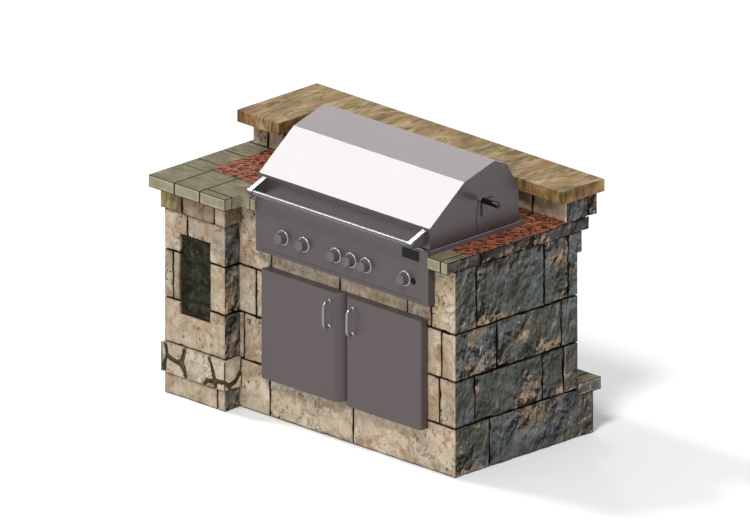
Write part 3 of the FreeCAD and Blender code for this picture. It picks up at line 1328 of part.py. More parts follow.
def spit_forks():
    """Two four-tined meat forks clamped on the spit, facing each other."""
    forks = []
    for side in (1, -1):
        place = GRILL_MIDDLE - side * FORK_SPACING / 2
        centre = V(place, SPIT_Y, SPIT_Z)
        hub = thin_rod(centre, centre + V(side * FORK_HUB_WIDTH, 0, 0), FORK_HUB_R)
        arm = FORK_TINE_R
        cross = box(min(place, place + side * 2 * arm), max(place, place + side * 2 * arm),
                    SPIT_Y - FORK_REACH, SPIT_Y + FORK_REACH, SPIT_Z - arm, SPIT_Z + arm)
        upright = box(min(place, place + side * 2 * arm), max(place, place + side * 2 * arm),
                      SPIT_Y - arm, SPIT_Y + arm, SPIT_Z - FORK_REACH, SPIT_Z + FORK_REACH)
        shape = hub.fuse(cross).fuse(upright)
        tip = V(side * FORK_TINE_LENGTH, 0, 0)
        for y, z in ((1, 0), (-1, 0), (0, 1), (0, -1)):
            shape = shape.fuse(fork_tine(centre + V(0, y, z) * (FORK_REACH - arm), side))
        shape = shape.cut(small_bore(centre - tip, centre + tip, SPIT_R))
        forks.append(shape.removeSplitter())
    return forks


# Access doors

def door_outline():
    """Left door seen from above, from its hinge side round to the meeting side."""
    outer = DOORS_LEFT
    inner = DOORS_LEFT + DOOR_WIDTH
    front = -DOOR_FRONT
    back = -DOOR_BACK_GAP
    bevel_start = V(inner - DOOR_BEVEL_WIDTH, front, DOOR_LOW)
    bevel_end = V(inner, front + DOOR_BEVEL_DEPTH, DOOR_LOW)
    swell = V(1, -1, 0).normalize() * DOOR_BEVEL_SWELL
    bevel_middle = (bevel_start + bevel_end) / 2 + swell
    hinge = V(outer + DOOR_PIVOT_R, HINGE_Y, DOOR_LOW)
    nose = V(outer + DOOR_NOSE, front + DOOR_NOSE, DOOR_LOW)
    slant = math.sqrt(0.5)
    heel_points = [V(hinge.x, back, DOOR_LOW),
                   hinge + V(-slant, slant, 0) * DOOR_PIVOT_R, V(outer, HINGE_Y, DOOR_LOW)]
    nose_points = [V(outer, nose.y, DOOR_LOW), nose + V(-slant, -slant, 0) * DOOR_NOSE,
                   V(nose.x, front, DOOR_LOW)]
    corner = V(inner, back, DOOR_LOW)
    edges = [Part.Arc(*heel_points).toShape(),
             Part.LineSegment(heel_points[2], nose_points[0]).toShape(),
             Part.Arc(*nose_points).toShape(),
             Part.LineSegment(nose_points[2], bevel_start).toShape(),
             Part.Arc(bevel_start, bevel_middle, bevel_end).toShape(),
             Part.LineSegment(bevel_end, corner).toShape(),
             Part.LineSegment(corner, heel_points[0]).toShape()]
    return Part.Wire(edges)


def door_left():
    """Left door: a formed pan with solid hinge and meeting stiles, open at the back."""
    slab = Part.Face(door_outline()).extrude(V(0, 0, DOOR_HEIGHT))
    pocket = box(DOORS_LEFT + DOOR_STILE, DOORS_LEFT + DOOR_WIDTH - DOOR_BEVEL_WIDTH - SHEET,
                 -DOOR_FRONT + SHEET, 0, DOOR_LOW + SHEET, DOOR_TOP - SHEET)
    slab = slab.cut(pocket)
    x = DOORS_LEFT + DOOR_PIVOT_R
    rebate = TAB_THICK + 2 * TAB_CLEAR
    for low in (DOOR_LOW, DOOR_TOP - rebate):
        slab = slab.cut(Part.makeCylinder(REBATE_R, rebate, V(x, HINGE_Y, low)))
    for pin in door_pins():
        slab = slab.cut(pin)
    return [slab]


def door_pins():
    """Top and bottom pivot pins of the left door."""
    x = DOORS_LEFT + DOOR_PIVOT_R
    return [Part.makeCylinder(DOOR_PIN_R, DOOR_PIN_LENGTH, V(x, HINGE_Y, low))
            for low in (DOOR_LOW + TAB_CLEAR, DOOR_TOP - TAB_CLEAR - DOOR_PIN_LENGTH)]


def door_pull():
    """Bent tube pull of the left door, with flared feet."""
    x = DOORS_LEFT + DOOR_WIDTH - PULL_FROM_MEETING
    low = PULL_LOW
    high = PULL_LOW + PULL_CENTRES
    face = -DOOR_FRONT
    out = face - PULL_STANDOFF
    path = bent_path([V(x, face, low), V(x, out, low), V(x, out, high), V(x, face, high)],
                     PULL_BEND)
    shape = bent_bar(path, PULL_TUBE_R)
    outline = [(0, 0), (PULL_FOOT_R, 0), (PULL_FOOT_R - 1, PULL_FOOT_THICK / 2),
               (PULL_TUBE_R, PULL_FOOT_THICK), (0, PULL_FOOT_THICK)]
    for height in (low, high):
        shape = shape.fuse(turned(outline, V(x, face, height), V(0, -1, 0)))
    return [shape.removeSplitter()]


def door_frame():
    """Steel frame in the doorway: flange on the wall, jamb into it, and pivot tabs."""
    flange = box(DOORS_LEFT + DOOR_FRAME_INSET, DOORS_RIGHT - DOOR_FRAME_INSET, -FLANGE, 0,
                 DOOR_LOW + TAB_CLEAR, DOOR_TOP - TAB_CLEAR)
    jamb = box(OPEN_LEFT, OPEN_RIGHT, -FLANGE, JAMB_DEPTH, OPEN_LOW, OPEN_TOP)
    clear = box(OPEN_LEFT + SHEET, OPEN_RIGHT - SHEET, -FAR, FAR, OPEN_LOW + SHEET,
                OPEN_TOP - SHEET)
    frame = flange.fuse(jamb).cut(clear)
    x = DOORS_LEFT + DOOR_PIVOT_R
    for low in (DOOR_LOW + TAB_CLEAR, DOOR_TOP - TAB_CLEAR - TAB_THICK):
        start, end = V(x, HINGE_Y, low), V(x, HINGE_Y, low + TAB_THICK)
        tab = thin_rod(start, end, TAB_R)
        tab = tab.fuse(box(x - TAB_R, x + TAB_R, HINGE_Y, -FLANGE, low, low + TAB_THICK))
        tab = tab.cut(small_bore(start, end, DOOR_PIN_R + SHAFT_CLEAR))
        frame = frame.fuse(tab).fuse(mirrored(tab))
    return [frame.removeSplitter()]


def door_magnets():
    """Magnetic catches under the frame's head, one for each door."""
    right = GRILL_MIDDLE - DOOR_MEETING_GAP
    top = OPEN_TOP - SHEET
    magnet = box(right - MAGNET_WIDTH, right, -DOOR_BACK_GAP + TRAY_CLEAR, MAGNET_DEPTH,
                 top - MAGNET_HEIGHT, top)
    return [magnet, mirrored(magnet)]


def all_pieces():
    """Every sub-part of the island by name."""
    cap_band = cap_band_stones()
    splits = [GRILL_LEFT + place for place in GRATE_SPLITS]
    grate_ends = [BOX_LEFT + SHEET + GRATE_GAP] + splits + [BOX_RIGHT - SHEET - GRATE_GAP]
    pieces = {
        "block_core": core_blocks(),
        "door_lintel": [door_lintel()],
        "front_stones": front_stones(),
        "back_stones": back_stones(),
        "right_end_stones": right_stones(),
        "left_end_stones": left_stones(),
        "pillar_front_stones": pillar_front_stones(),
        "pillar_side_stones": pillar_side_stones(),
        "pillar_cap_stones": cap_band[:-1],
        "pillar_rubble_stones": rubble_band_stones(),
        "pillar_slate_panel": slate_panel(),
        "bar_wall_stones": bar_sandstone(),
        "bar_wall_end_stones": bar_dark_stone(),
        "foot_ledge_slabs": ledge_tiles(),
        "counter_board": counter_board(),
        "granite_counter": granite_slab(),
        "counter_edge_tiles": edge_tiles(),
        "counter_side_apron": side_apron(),
        "bar_top": bar_top(),
        "counter_support_angle": support_angle(),
        "firebox": firebox(),
        "grill_trim": grill_trim(),
        "control_panel": control_panel(),
        "knob_bezels": knob_bezels(),
        "gas_manifold": gas_manifold(),
        "burner_valves": burner_valves(),
        "burners": burners(),
        "flame_tamers": flame_tamers(),
        "warming_rack": warming_rack(),
        "back_shield": back_shield(),
        "hood_pivot_brackets": pivot_brackets(),
        "hood_bumpers": hood_bumpers(),
        "spit_brackets": spit_brackets(),
        "tray_runners": tray_runners(),
        "igniter_housing": igniter_housing(),
        "igniter_button": igniter_button(),
        "door_frame": door_frame(),
        "door_magnets": door_magnets(),
        "hood_shell": hood_shell(),
        "hood_cover_plate": spit_cover_plate(),
        "hood_handle": hood_handle(),
        "hood_handle_brackets": hood_gussets(),
        "hood_pivots": hood_pivots(),
        "spit_rod": spit_rod(),
        "spit_grip": spit_grip(),
        "spit_forks": spit_forks(),
        "drip_tray": drip_tray(),
        "door_left": door_left(),
        "door_right": [mirrored(shape) for shape in door_left()],
        "door_left_pins": door_pins(),
        "door_right_pins": [mirrored(shape) for shape in door_pins()],
        "door_left_pull": door_pull(),
        "door_right_pull": [mirrored(shape) for shape in door_pull()],
    }
    grates = []
    for index in range(3):
        low = grate_ends[index] + (GRATE_GAP / 2 if index else 0)
        high = grate_ends[index + 1] - (GRATE_GAP / 2 if index < 2 else 0)
        grates += grate(low, high)
    pieces["cooking_grates"] = grates
    for number, place in enumerate(KNOB_PLACES, 1):
        pieces["knob_%d" % number] = knob(place)
    return pieces


def main():
    """Write one file for each sub-part, in the island's own frame."""
    os.makedirs("parts", exist_ok=True)
    for name, shapes in all_pieces().items():
        solids = solids_of(shapes)
        piece = solids[0] if len(solids) == 1 else Part.makeCompound(solids)
        piece.translate(-ORIGIN)
        piece.exportStep("parts/%s.step" % name)
    print("origin", ORIGIN)


main()
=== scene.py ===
import json
import math

import bmesh
import bpy
import numpy as np
from mathutils import Matrix, Vector, noise
from mathutils.geometry import intersect_point_line

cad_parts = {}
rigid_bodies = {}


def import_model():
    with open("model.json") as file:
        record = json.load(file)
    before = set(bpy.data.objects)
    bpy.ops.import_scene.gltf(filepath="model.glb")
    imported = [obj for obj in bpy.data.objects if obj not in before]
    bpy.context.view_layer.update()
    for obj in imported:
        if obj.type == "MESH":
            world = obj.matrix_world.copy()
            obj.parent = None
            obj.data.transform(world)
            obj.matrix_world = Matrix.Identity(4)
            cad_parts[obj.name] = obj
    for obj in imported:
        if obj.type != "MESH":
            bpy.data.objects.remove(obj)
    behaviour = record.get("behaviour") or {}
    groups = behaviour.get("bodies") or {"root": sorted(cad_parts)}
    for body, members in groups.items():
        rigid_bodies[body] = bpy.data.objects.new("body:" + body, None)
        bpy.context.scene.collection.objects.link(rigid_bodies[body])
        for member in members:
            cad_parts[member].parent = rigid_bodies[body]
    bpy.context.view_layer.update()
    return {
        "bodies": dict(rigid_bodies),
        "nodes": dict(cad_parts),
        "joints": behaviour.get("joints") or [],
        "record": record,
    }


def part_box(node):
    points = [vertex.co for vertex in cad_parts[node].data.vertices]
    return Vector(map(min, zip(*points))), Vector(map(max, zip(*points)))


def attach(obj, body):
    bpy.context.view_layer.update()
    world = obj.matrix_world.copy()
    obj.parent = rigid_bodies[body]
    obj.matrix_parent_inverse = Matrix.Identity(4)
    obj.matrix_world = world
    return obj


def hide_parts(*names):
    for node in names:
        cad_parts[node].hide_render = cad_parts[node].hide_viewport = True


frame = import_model()
nodes = frame["nodes"]
rng = np.random.default_rng(11)


def added(name, data):
    """Puts an object with this data into the scene."""
    made = bpy.data.objects.new(name, data)
    bpy.context.scene.collection.objects.link(made)
    return made


# Camera: parallel projection from the right front, a third of the way up

VIEW_RIGHT = Vector((1, 1, 0)).normalized()
VIEW_BACK = Vector((2, -2, 1)).normalized()
VIEW_AIM = Vector((0.35215, -0.36725, 0.8033))
VIEW_WIDTH = 2.9769
VIEW_DISTANCE = 9


def add_camera():
    """The photograph's viewing direction and scale."""
    camera = bpy.data.cameras.new("camera")
    camera.type = "ORTHO"
    camera.ortho_scale = VIEW_WIDTH
    camera.clip_end = 60
    holder = added("camera", camera)
    turn = Matrix((VIEW_RIGHT, VIEW_BACK.cross(VIEW_RIGHT), VIEW_BACK)).transposed().to_4x4()
    holder.matrix_world = Matrix.Translation(VIEW_AIM + VIEW_BACK * VIEW_DISTANCE) @ turn
    bpy.context.scene.camera = holder


# Light, floor and background

FLOOR_HALF = 14.0
FLOOR_DROP = 0.002


def add_light(name, direction, strength, size, colour=(1, 1, 1)):
    """Broad lamp that shines from the given direction."""
    lamp = bpy.data.lights.new(name, "SUN")
    lamp.energy = strength
    lamp.angle = math.radians(size)
    lamp.color = colour
    added(name, lamp).rotation_euler = Vector(direction).to_track_quat("Z", "Y").to_euler()


def feed(tree, value, socket):
    """Links an output to an input socket, or sets the socket to a plain value."""
    if hasattr(value, "links"):
        tree.links.new(value, socket)
    else:
        socket.default_value = value


def add_node(tree, kind, inputs, **settings):
    """Adds a shader node with its settings and inputs."""
    made = tree.nodes.new("ShaderNode" + kind)
    for name, value in settings.items():
        setattr(made, name, value)
    for name, value in inputs.items():
        feed(tree, value, made.inputs[name])
    return made


def add_world():
    """Plain pale surroundings, which the camera, mirrors and glass see as white."""
    world = bpy.data.worlds.new("world")
    bpy.context.scene.world = world
    world.use_nodes = True
    tree = world.node_tree
    glow = tree.nodes["Background"]
    glow.inputs["Color"].default_value = (0.97, 0.98, 1.0, 1)
    glow.inputs["Strength"].default_value = 0.5
    white = add_node(tree, "Background", {"Color": (1, 1, 1, 1), "Strength": 1.0})
    path = add_node(tree, "LightPath", {})
    seen = path.outputs["Is Camera Ray"]
    for ray in ("Is Transmission Ray", "Is Glossy Ray"):
        seen = add_node(tree, "Math", {0: seen, 1: path.outputs[ray]},
                        operation="MAXIMUM").outputs[0]
    mix = add_node(tree, "MixShader", {0: seen, 1: glow.outputs[0], 2: white.outputs[0]})
    tree.links.new(mix.outputs[0], tree.nodes["World Output"].inputs["Surface"])


def add_floor():
    """Pale floor that keeps the island's soft shadow."""
    mesh = bpy.data.meshes.new("floor")
    corners = [(x * FLOOR_HALF, y * FLOOR_HALF, -FLOOR_DROP)
               for x, y in ((-1, -1), (1, -1), (1, 1), (-1, 1))]
    mesh.from_pydata(corners, [], [(0, 1, 2, 3)])
    material = bpy.data.materials.new("floor_white")
    material.use_nodes = True
    shader = material.node_tree.nodes["Principled BSDF"]
    shader.inputs["Base Color"].default_value = (0.93, 0.93, 0.93, 1)
    shader.inputs["Roughness"].default_value = 0.9
    mesh.materials.append(material)
    added("floor", mesh)


# Node helpers for the materials

class Paint:
    """One material with short calls for its nodes."""

    def __init__(self, name):
        self.material = bpy.data.materials.new(name)
        self.material.use_nodes = True
        self.tree = self.material.node_tree
        self.coords = self.node("TexCoord", {}).outputs["Object"]

    def node(self, kind, inputs, **settings):
        return add_node(self.tree, kind, inputs, **settings)

    def noise(self, vector, scale, detail=4, rough=0.55, warp=0.0):
        return self.node("TexNoise", {"Vector": vector, "Scale": scale, "Detail": detail,
                                      "Roughness": rough, "Distortion": warp}).outputs["Fac"]

    def attribute(self, name):
        return self.node("Attribute", {}, attribute_name=name).outputs["Fac"]

    def math(self, operation, *values):
        return self.node("Math", dict(enumerate(values)), operation=operation).outputs[0]

    def plus(self, first, second):
        return self.math("ADD", first, second)

    def minus(self, first, second):
        return self.math("SUBTRACT", first, second)

    def times(self, first, second):
        return self.math("MULTIPLY", first, second)

    def ramp(self, value, stops):
        """Colours or levels by a value, as (place, colour) stops."""
        made = self.node("ValToRGB", {"Fac": value})
        marks = made.color_ramp.elements
        while len(marks) < len(stops):
            marks.new(0.5)
        for mark, (place, colour) in zip(marks, stops):
            mark.position = place
            if not isinstance(colour, tuple):
                colour = (colour, colour, colour)
            mark.color = (*colour, 1)
        return made.outputs["Color"]

    def rise(self, value, low, high, share=1.0):
        """Nothing where a value is low, up to the share where it is high."""
        return self.ramp(value, [(low, 0.0), (high, share)])

    def mix(self, share, first, second, blend="MIX"):
        made = self.node("Mix", {"Factor": share}, data_type="RGBA", blend_type=blend)
        for value, name in ((first, "A"), (second, "B")):
            socket = [s for s in made.inputs if s.name == name and s.type == "RGBA"][0]
            feed(self.tree, (*value, 1) if isinstance(value, tuple) else value, socket)
        return [s for s in made.outputs if s.type == "RGBA"][0]

    def tint(self, base, colour):
        return self.mix(1.0, base, colour, "MULTIPLY")

    def cover(self, base, colour, value, low, high, share):
        """Lays a colour over the base where a value rises from low to high."""
        return self.mix(self.rise(value, low, high, share), base, colour)

    def finish(self, colour, roughness, relief, strength, depth, metallic=0.0, gloss=0.2):
        """Feeds the shader, with fine relief as bump."""
        bump = self.node("Bump", {"Height": relief, "Strength": strength, "Distance": depth})
        shader = self.tree.nodes["Principled BSDF"]
        for name, value in (("Base Color", colour), ("Roughness", roughness),
                            ("Normal", bump.outputs["Normal"]), ("Metallic", metallic),
                            ("Specular IOR Level", gloss)):
            feed(self.tree, value, shader.inputs[name])
        return self.material


def srgb(red, green, blue):
    """Colour given as the eye reads it, 0 to 255, as linear light."""
    return tuple(((v / 255 + 0.055) / 1.055) ** 2.4 if v > 10 else v / 255 / 12.92
                 for v in (red, green, blue))


def scaled(colour, share):
    """A colour made darker or paler."""
    return tuple(min(1.0, v * share) for v in colour)


# Stone materials

TONE_SPREAD = 23


def moved(p, vector, shift):
    """A place moved by a shift, to read another part of a pattern."""
    return p.node("VectorMath", {0: vector, 1: shift}, operation="ADD").outputs[0]


def own_place(p):
    """Object place, moved by each stone's own tone so that no two stones share a pattern."""
    tone = p.attribute("tone")
    shift = p.node("CombineXYZ", {axis: p.times(tone, TONE_SPREAD * share)
                                  for axis, share in enumerate((1, 0.6, 1.7))})
    return moved(p, p.coords, shift.outputs[0])


def stretched(p, vector, scale, turn=(0, 0, 0)):
    """Place squeezed along some axes, for a pattern with a grain."""
    return p.node("Mapping", {"Vector": vector, "Scale": scale, "Rotation": turn}).outputs[0]


def facing_up(p):
    """One on a top, nothing on a side."""
    normal = p.node("NewGeometry", {}).outputs["Normal"]
    return p.node("SeparateXYZ", {0: normal}).outputs[2]


def near_half(p, value, width):
    """One where a value is close to a half, fading to nothing."""
    return p.ramp(p.math("ABSOLUTE", p.minus(value, 0.5)), [(0.0, 1.0), (width, 0.0)])


def sandstone(name, cream, tan, brown, greyed, seam=(0.016, 0.0085, 0.0048)):
    """Warm rough sandstone: cream and tan clouds, rusty stains, grey threads and dark pits."""
    p = Paint(name)
    place = own_place(p)
    base = p.ramp(p.noise(place, 5, 7, 0.66, 0.5), [(0.38, tan), (0.53, cream), (0.66, tan)])
    base = p.tint(base, p.ramp(p.attribute("tone"), [(0.0, (0.88, 0.87, 0.85)), (0.5, 1),
                                                     (1.0, (1.07, 1.03, 0.96))]))
    base = p.tint(base, p.ramp(p.noise(place, 42, 8, 0.78),
                               [(0.34, 0.66), (0.5, 1), (0.66, 1.16)]))
    near_edge = p.plus(p.times(p.attribute("flake_and_highlight"), 0.07), p.times(p.attribute("rim"), 0.12))
    stain = p.plus(p.noise(moved(p, place, (3, 1, 8)), 7, 9, 0.76, 0.9), near_edge)
    base = p.mix(p.ramp(stain, [(0.52, 0.0), (0.6, 0.45), (0.7, 0.95)]), base, brown)
    pale = p.noise(moved(p, place, (5, 5, 2)), 11, 7, 0.7)
    base = p.cover(base, scaled(cream, 1.28), pale, 0.54, 0.64, 0.7)
    thread = near_half(p, p.noise(moved(p, place, (7, 2, 0)), 8, 5, 0.6, 1.3), 0.026)
    zone = p.rise(p.noise(moved(p, place, (0, 9, 3)), 3.4, 2), 0.46, 0.54, 0.9)
    base = p.mix(p.times(thread, zone), base, greyed)
    rust = p.noise(moved(p, place, (6, 1, 4)), 24, 8, 0.82)
    base = p.cover(base, scaled(brown, 0.62), rust, 0.56, 0.63, 0.9)
    spots = p.rise(p.noise(place, 52, 3, 0.6, 0.3), 0.57, 0.63)
    dots = p.rise(p.noise(moved(p, place, (1, 5, 5)), 5, 6, 0.7), 0.55, 0.62, 0.9)
    pits = p.times(spots, dots)
    base = p.mix(pits, base, srgb(56, 34, 22))
    # Painted shade: the dark seam colour on the stone's sides in the joints and where its face
    # rounds off into them.
    base = p.cover(base, seam, p.attribute("rim"), 0.1, 0.7, 0.97)
    relief = p.minus(p.plus(p.noise(place, 14, 9, 0.7), stain), pits)
    return p.finish(base, 0.9, relief, 0.9, 0.008)


def dark_stone(name, level, flaky=0.0):
    """Split grey stone with rust, tan flakes and painted light: a relief lit on one side and
    shaded on the other, painted highlights among the flakes and painted shade in its hollows and
    joints.
    """
    p = Paint(name)
    place = own_place(p)
    base = p.ramp(p.noise(place, 3.6, 5, 0.6, 0.4),
                  [(0.34, srgb(76, 75, 66)), (0.48, srgb(88, 90, 84)),
                   (0.6, srgb(100, 105, 108)), (0.72, srgb(82, 82, 74))])
    base = p.tint(base, level)
    base = p.tint(base, p.ramp(p.noise(place, 48, 8, 0.78),
                               [(0.34, 0.66), (0.5, 1), (0.66, 1.25)]))
    lean = stretched(p, place, (1, 1.15, 0.85), (0.5, 0, 0))
    here = p.noise(lean, 7, 7, 0.58, 0.2)
    beside = p.noise(moved(p, lean, (0, 0.0085, -0.005)), 7, 7, 0.58, 0.2)
    # Painted light and shade from the pattern's slope toward one side: paler on one side of each
    # bump, darker on the other.
    painted_light = p.times(p.minus(beside, here), 10)
    base = p.tint(base, p.ramp(p.plus(painted_light, 0.5), [(0.15, 0.5), (0.5, 1), (0.85, 1.5)]))
    patch = p.noise(moved(p, place, (6, 2, 1)), 4, 4, 0.55)
    breakup = p.noise(moved(p, lean, (2, 5, 3)), 13, 8, 0.7, 0.3)
    mask = p.plus(patch, p.times(p.attribute("flake_and_highlight"), 0.2))
    # Tan flakes in patches, partly painted highlights where the painted light is strong.
    flake_and_highlight = p.plus(p.times(painted_light, 0.34), mask)
    flake_and_highlight = p.plus(flake_and_highlight, p.times(p.minus(breakup, 0.5), 0.4))
    warm = p.ramp(p.noise(place, 30, 6, 0.7),
                  [(0.36, srgb(112, 84, 60)), (0.5, srgb(150, 124, 98)),
                   (0.64, srgb(204, 176, 146))])
    base = p.cover(base, warm, flake_and_highlight, 0.66 - flaky, 0.74 - flaky, 0.9)
    # Painted shade: black in the patches where the painted light falls away.
    painted_crevice_shade = p.minus(mask, p.times(painted_light, 0.5))
    base = p.cover(base, srgb(24, 18, 13), painted_crevice_shade, 0.7, 0.78, 0.9)
    # Warm tan along each stone's bottom edge and one end.
    edge = p.minus(p.attribute("flake_and_highlight"), p.times(breakup, 0.4))
    base = p.cover(base, warm, edge, 0.46, 0.58, 0.85)
    spots = p.noise(moved(p, place, (8, 8, 2)), 20, 8, 0.78)
    base = p.cover(base, srgb(20, 17, 13), spots, 0.61, 0.69, 0.9)
    # Painted shade: near black on the stone's sides in the joints and where its face rounds off
    # into them.
    base = p.cover(base, srgb(12, 9, 6), p.attribute("rim"), 0.12, 0.7, 1.0)
    relief = p.plus(here, p.times(p.noise(place, 34, 8, 0.7), 0.3))
    return p.finish(base, 0.8, relief, 1.0, 0.03, gloss=0.15)


def cap_stone(name):
    """Slabby stone with diagonal beds of ochre, olive and pink-brown."""
    p = Paint(name)
    place = own_place(p)
    beds = p.noise(stretched(p, place, (1, 1, 0.45), (0, 0.7, 0)), 13, 7, 0.62, 0.5)
    ochre = p.ramp(beds, [(0.32, srgb(98, 84, 58)), (0.46, srgb(146, 132, 92)),
                          (0.56, srgb(160, 142, 96)), (0.7, srgb(122, 100, 68))])
    pink = p.ramp(beds, [(0.32, srgb(98, 78, 62)), (0.46, srgb(140, 116, 100)),
                         (0.56, srgb(158, 136, 108)), (0.7, srgb(124, 98, 76))])
    base = p.cover(ochre, pink, p.attribute("tone"), 0.45, 0.55, 1.0)
    base = p.tint(base, p.ramp(p.noise(place, 60, 7, 0.72),
                               [(0.3, 0.75), (0.5, 1), (0.7, 1.12)]))
    slope = stretched(p, place, (1, 1, 0.5), (0, 0.7, 0))
    crack = near_half(p, p.noise(slope, 4.5, 5, 0.6, 0.5), 0.012)
    base = p.mix(p.times(crack, 0.35), base, srgb(52, 40, 28))
    # Painted shade: dark on the sides in the joints and where the face rounds off into them.
    base = p.cover(base, srgb(52, 40, 28), p.attribute("rim"), 0.1, 0.8, 0.8)
    return p.finish(base, 0.88, p.minus(beds, crack), 0.8, 0.008)


def coping_stone(name):
    """Khaki slabs: brown-green tops and paler sides, with a painted pale highlight inside each
    edge and painted dark shade along the edges.
    """
    p = Paint(name)
    place = own_place(p)
    clouds = p.noise(stretched(p, place, (1, 2.2, 2)), 6, 6, 0.62, 0.5)
    top = p.ramp(clouds, [(0.36, srgb(112, 102, 80)), (0.48, srgb(128, 121, 98)),
                          (0.62, srgb(106, 98, 78))])
    side = p.ramp(clouds, [(0.34, srgb(136, 126, 102)), (0.5, srgb(156, 147, 122)),
                           (0.66, srgb(142, 134, 108))])
    lying = p.rise(facing_up(p), 0.4, 0.7)
    base = p.mix(lying, side, top)
    stains = p.noise(moved(p, place, (4, 1, 2)), 9, 7, 0.72)
    base = p.cover(base, srgb(100, 84, 62), stains, 0.48, 0.66, 0.6)
    streak = p.noise(stretched(p, place, (1, 9, 1)), 5, 5, 0.6)
    base = p.cover(base, srgb(84, 88, 72), streak, 0.52, 0.66, 0.4)
    pale = p.noise(moved(p, place, (2, 6, 1)), 13, 6, 0.68)
    base = p.cover(base, srgb(164, 156, 130), pale, 0.54, 0.66, 0.5)
    # Painted highlight: a pale frame inside each edge, strong on the sides and faint on the tops,
    # where a rounded edge would catch light.
    frame = p.times(p.attribute("flake_and_highlight"), p.minus(0.42, p.times(lying, 0.34)))
    base = p.mix(frame, base, srgb(182, 174, 144))
    # Painted shade: a dark green band along every edge.
    base = p.cover(base, srgb(54, 58, 44), p.attribute("rim"), 0.2, 0.6, 0.95)
    return p.finish(base, 0.85, p.noise(place, 60, 7, 0.65), 0.35, 0.003)


def granite(name):
    """Terracotta granite with long dark flecks along one grain."""
    p = Paint(name)
    base = p.ramp(p.noise(p.coords, 120, 5, 0.75),
                  [(0.36, srgb(108, 56, 38)), (0.5, srgb(150, 82, 56)),
                   (0.64, srgb(186, 118, 88))])
    turned = stretched(p, p.coords, (1, 1, 1), (0, 0, math.radians(-45)))
    lean = stretched(p, turned, (1, 2, 1))
    fleck = p.noise(lean, 34, 1, 0.4, 0.15)
    base = p.cover(base, srgb(38, 30, 26), fleck, 0.515, 0.535, 0.97)
    small = p.noise(moved(p, lean, (5, 3, 0)), 60, 1, 0.4, 0.1)
    base = p.cover(base, srgb(48, 34, 27), small, 0.62, 0.65, 0.9)
    glint = p.noise(moved(p, lean, (1, 7, 0)), 60, 3, 0.6)
    base = p.cover(base, srgb(206, 150, 118), glint, 0.62, 0.66, 0.8)
    return p.finish(base, 0.62, fleck, 0.06, 0.001, gloss=0.1)


def onyx(name):
    """Bar slab: tan ground with red-brown bands and olive seams across the bar."""
    p = Paint(name)
    bands = p.noise(stretched(p, p.coords, (2.4, 0.6, 0.7), (0, 0, 0.12)), 4.6, 6, 0.56, 0.5)
    base = p.ramp(bands, [(0.36, srgb(92, 70, 38)), (0.44, srgb(156, 128, 88)),
                          (0.50, srgb(126, 108, 62)), (0.56, srgb(168, 146, 104)),
                          (0.64, srgb(112, 78, 48))])
    along = stretched(p, p.coords, (1.5, 0.7, 0.8), (0, 0, 0.1))
    wide = p.noise(along, 6, 4, 0.55, 0.4)
    base = p.cover(base, srgb(150, 112, 78), wide, 0.48, 0.57, 0.7)
    clouds = p.noise(along, 6.5, 7, 0.64, 0.4)
    base = p.mix(p.ramp(clouds, [(0.36, 0.75), (0.46, 0.0)]), base, srgb(96, 84, 42))
    base = p.cover(base, srgb(190, 170, 130), clouds, 0.54, 0.66, 0.8)
    flow = p.noise(stretched(p, p.coords, (2, 0.42, 0.5), (0, 0, 0.08)), 6, 6, 0.6, 0.6)
    base = p.mix(p.times(near_half(p, flow, 0.024), 0.8), base, srgb(78, 62, 28))
    speck = p.noise(p.coords, 60, 7, 0.8)
    base = p.cover(base, srgb(84, 62, 34), speck, 0.56, 0.7, 0.7)
    side = p.ramp(p.noise(stretched(p, p.coords, (1, 1, 0.25)), 12, 5, 0.6),
                  [(0.4, (0.62, 0.56, 0.42)), (0.5, (1.2, 1.16, 1.06)), (0.6, (0.82, 0.7, 0.56))])
    base = p.tint(base, p.cover(side, (0.9, 0.9, 0.9), facing_up(p), 0.3, 0.7, 1.0))
    return p.finish(base, 0.55, bands, 0.15, 0.003)


def slate(name):
    """Green-black slate blocks with mossy seams."""
    p = Paint(name)
    place = own_place(p)
    clouds = p.noise(place, 16, 8, 0.75, 0.5)
    base = p.ramp(clouds, [(0.36, srgb(14, 14, 9)), (0.48, srgb(35, 35, 26)),
                           (0.6, srgb(58, 60, 48))])
    moss = p.noise(moved(p, place, (3, 0, 2)), 30, 7, 0.72)
    base = p.cover(base, srgb(76, 80, 58), moss, 0.54, 0.64, 0.8)
    dark = p.noise(moved(p, place, (2, 3, 1)), 22, 7, 0.75)
    base = p.cover(base, srgb(10, 10, 6), dark, 0.54, 0.64, 0.9)
    base = p.cover(base, srgb(74, 56, 32), p.attribute("rim"), 0.1, 0.7, 0.85)
    return p.finish(base, 0.85, clouds, 0.9, 0.01, gloss=0.08)


def concrete(name, colour):
    """Rough cast concrete."""
    p = Paint(name)
    base = p.ramp(p.noise(p.coords, 9, 6, 0.6), [(0.3, scaled(colour, 0.7)), (0.7, colour)])
    cells = p.node("TexVoronoi", {"Vector": p.coords, "Scale": 120}).outputs["Distance"]
    base = p.mix(p.ramp(cells, [(0.1, 0.5), (0.2, 0)]), base, scaled(colour, 0.4))
    return p.finish(base, 0.95, p.noise(p.coords, 70, 6), 0.5, 0.003)


# Metal and plastic materials

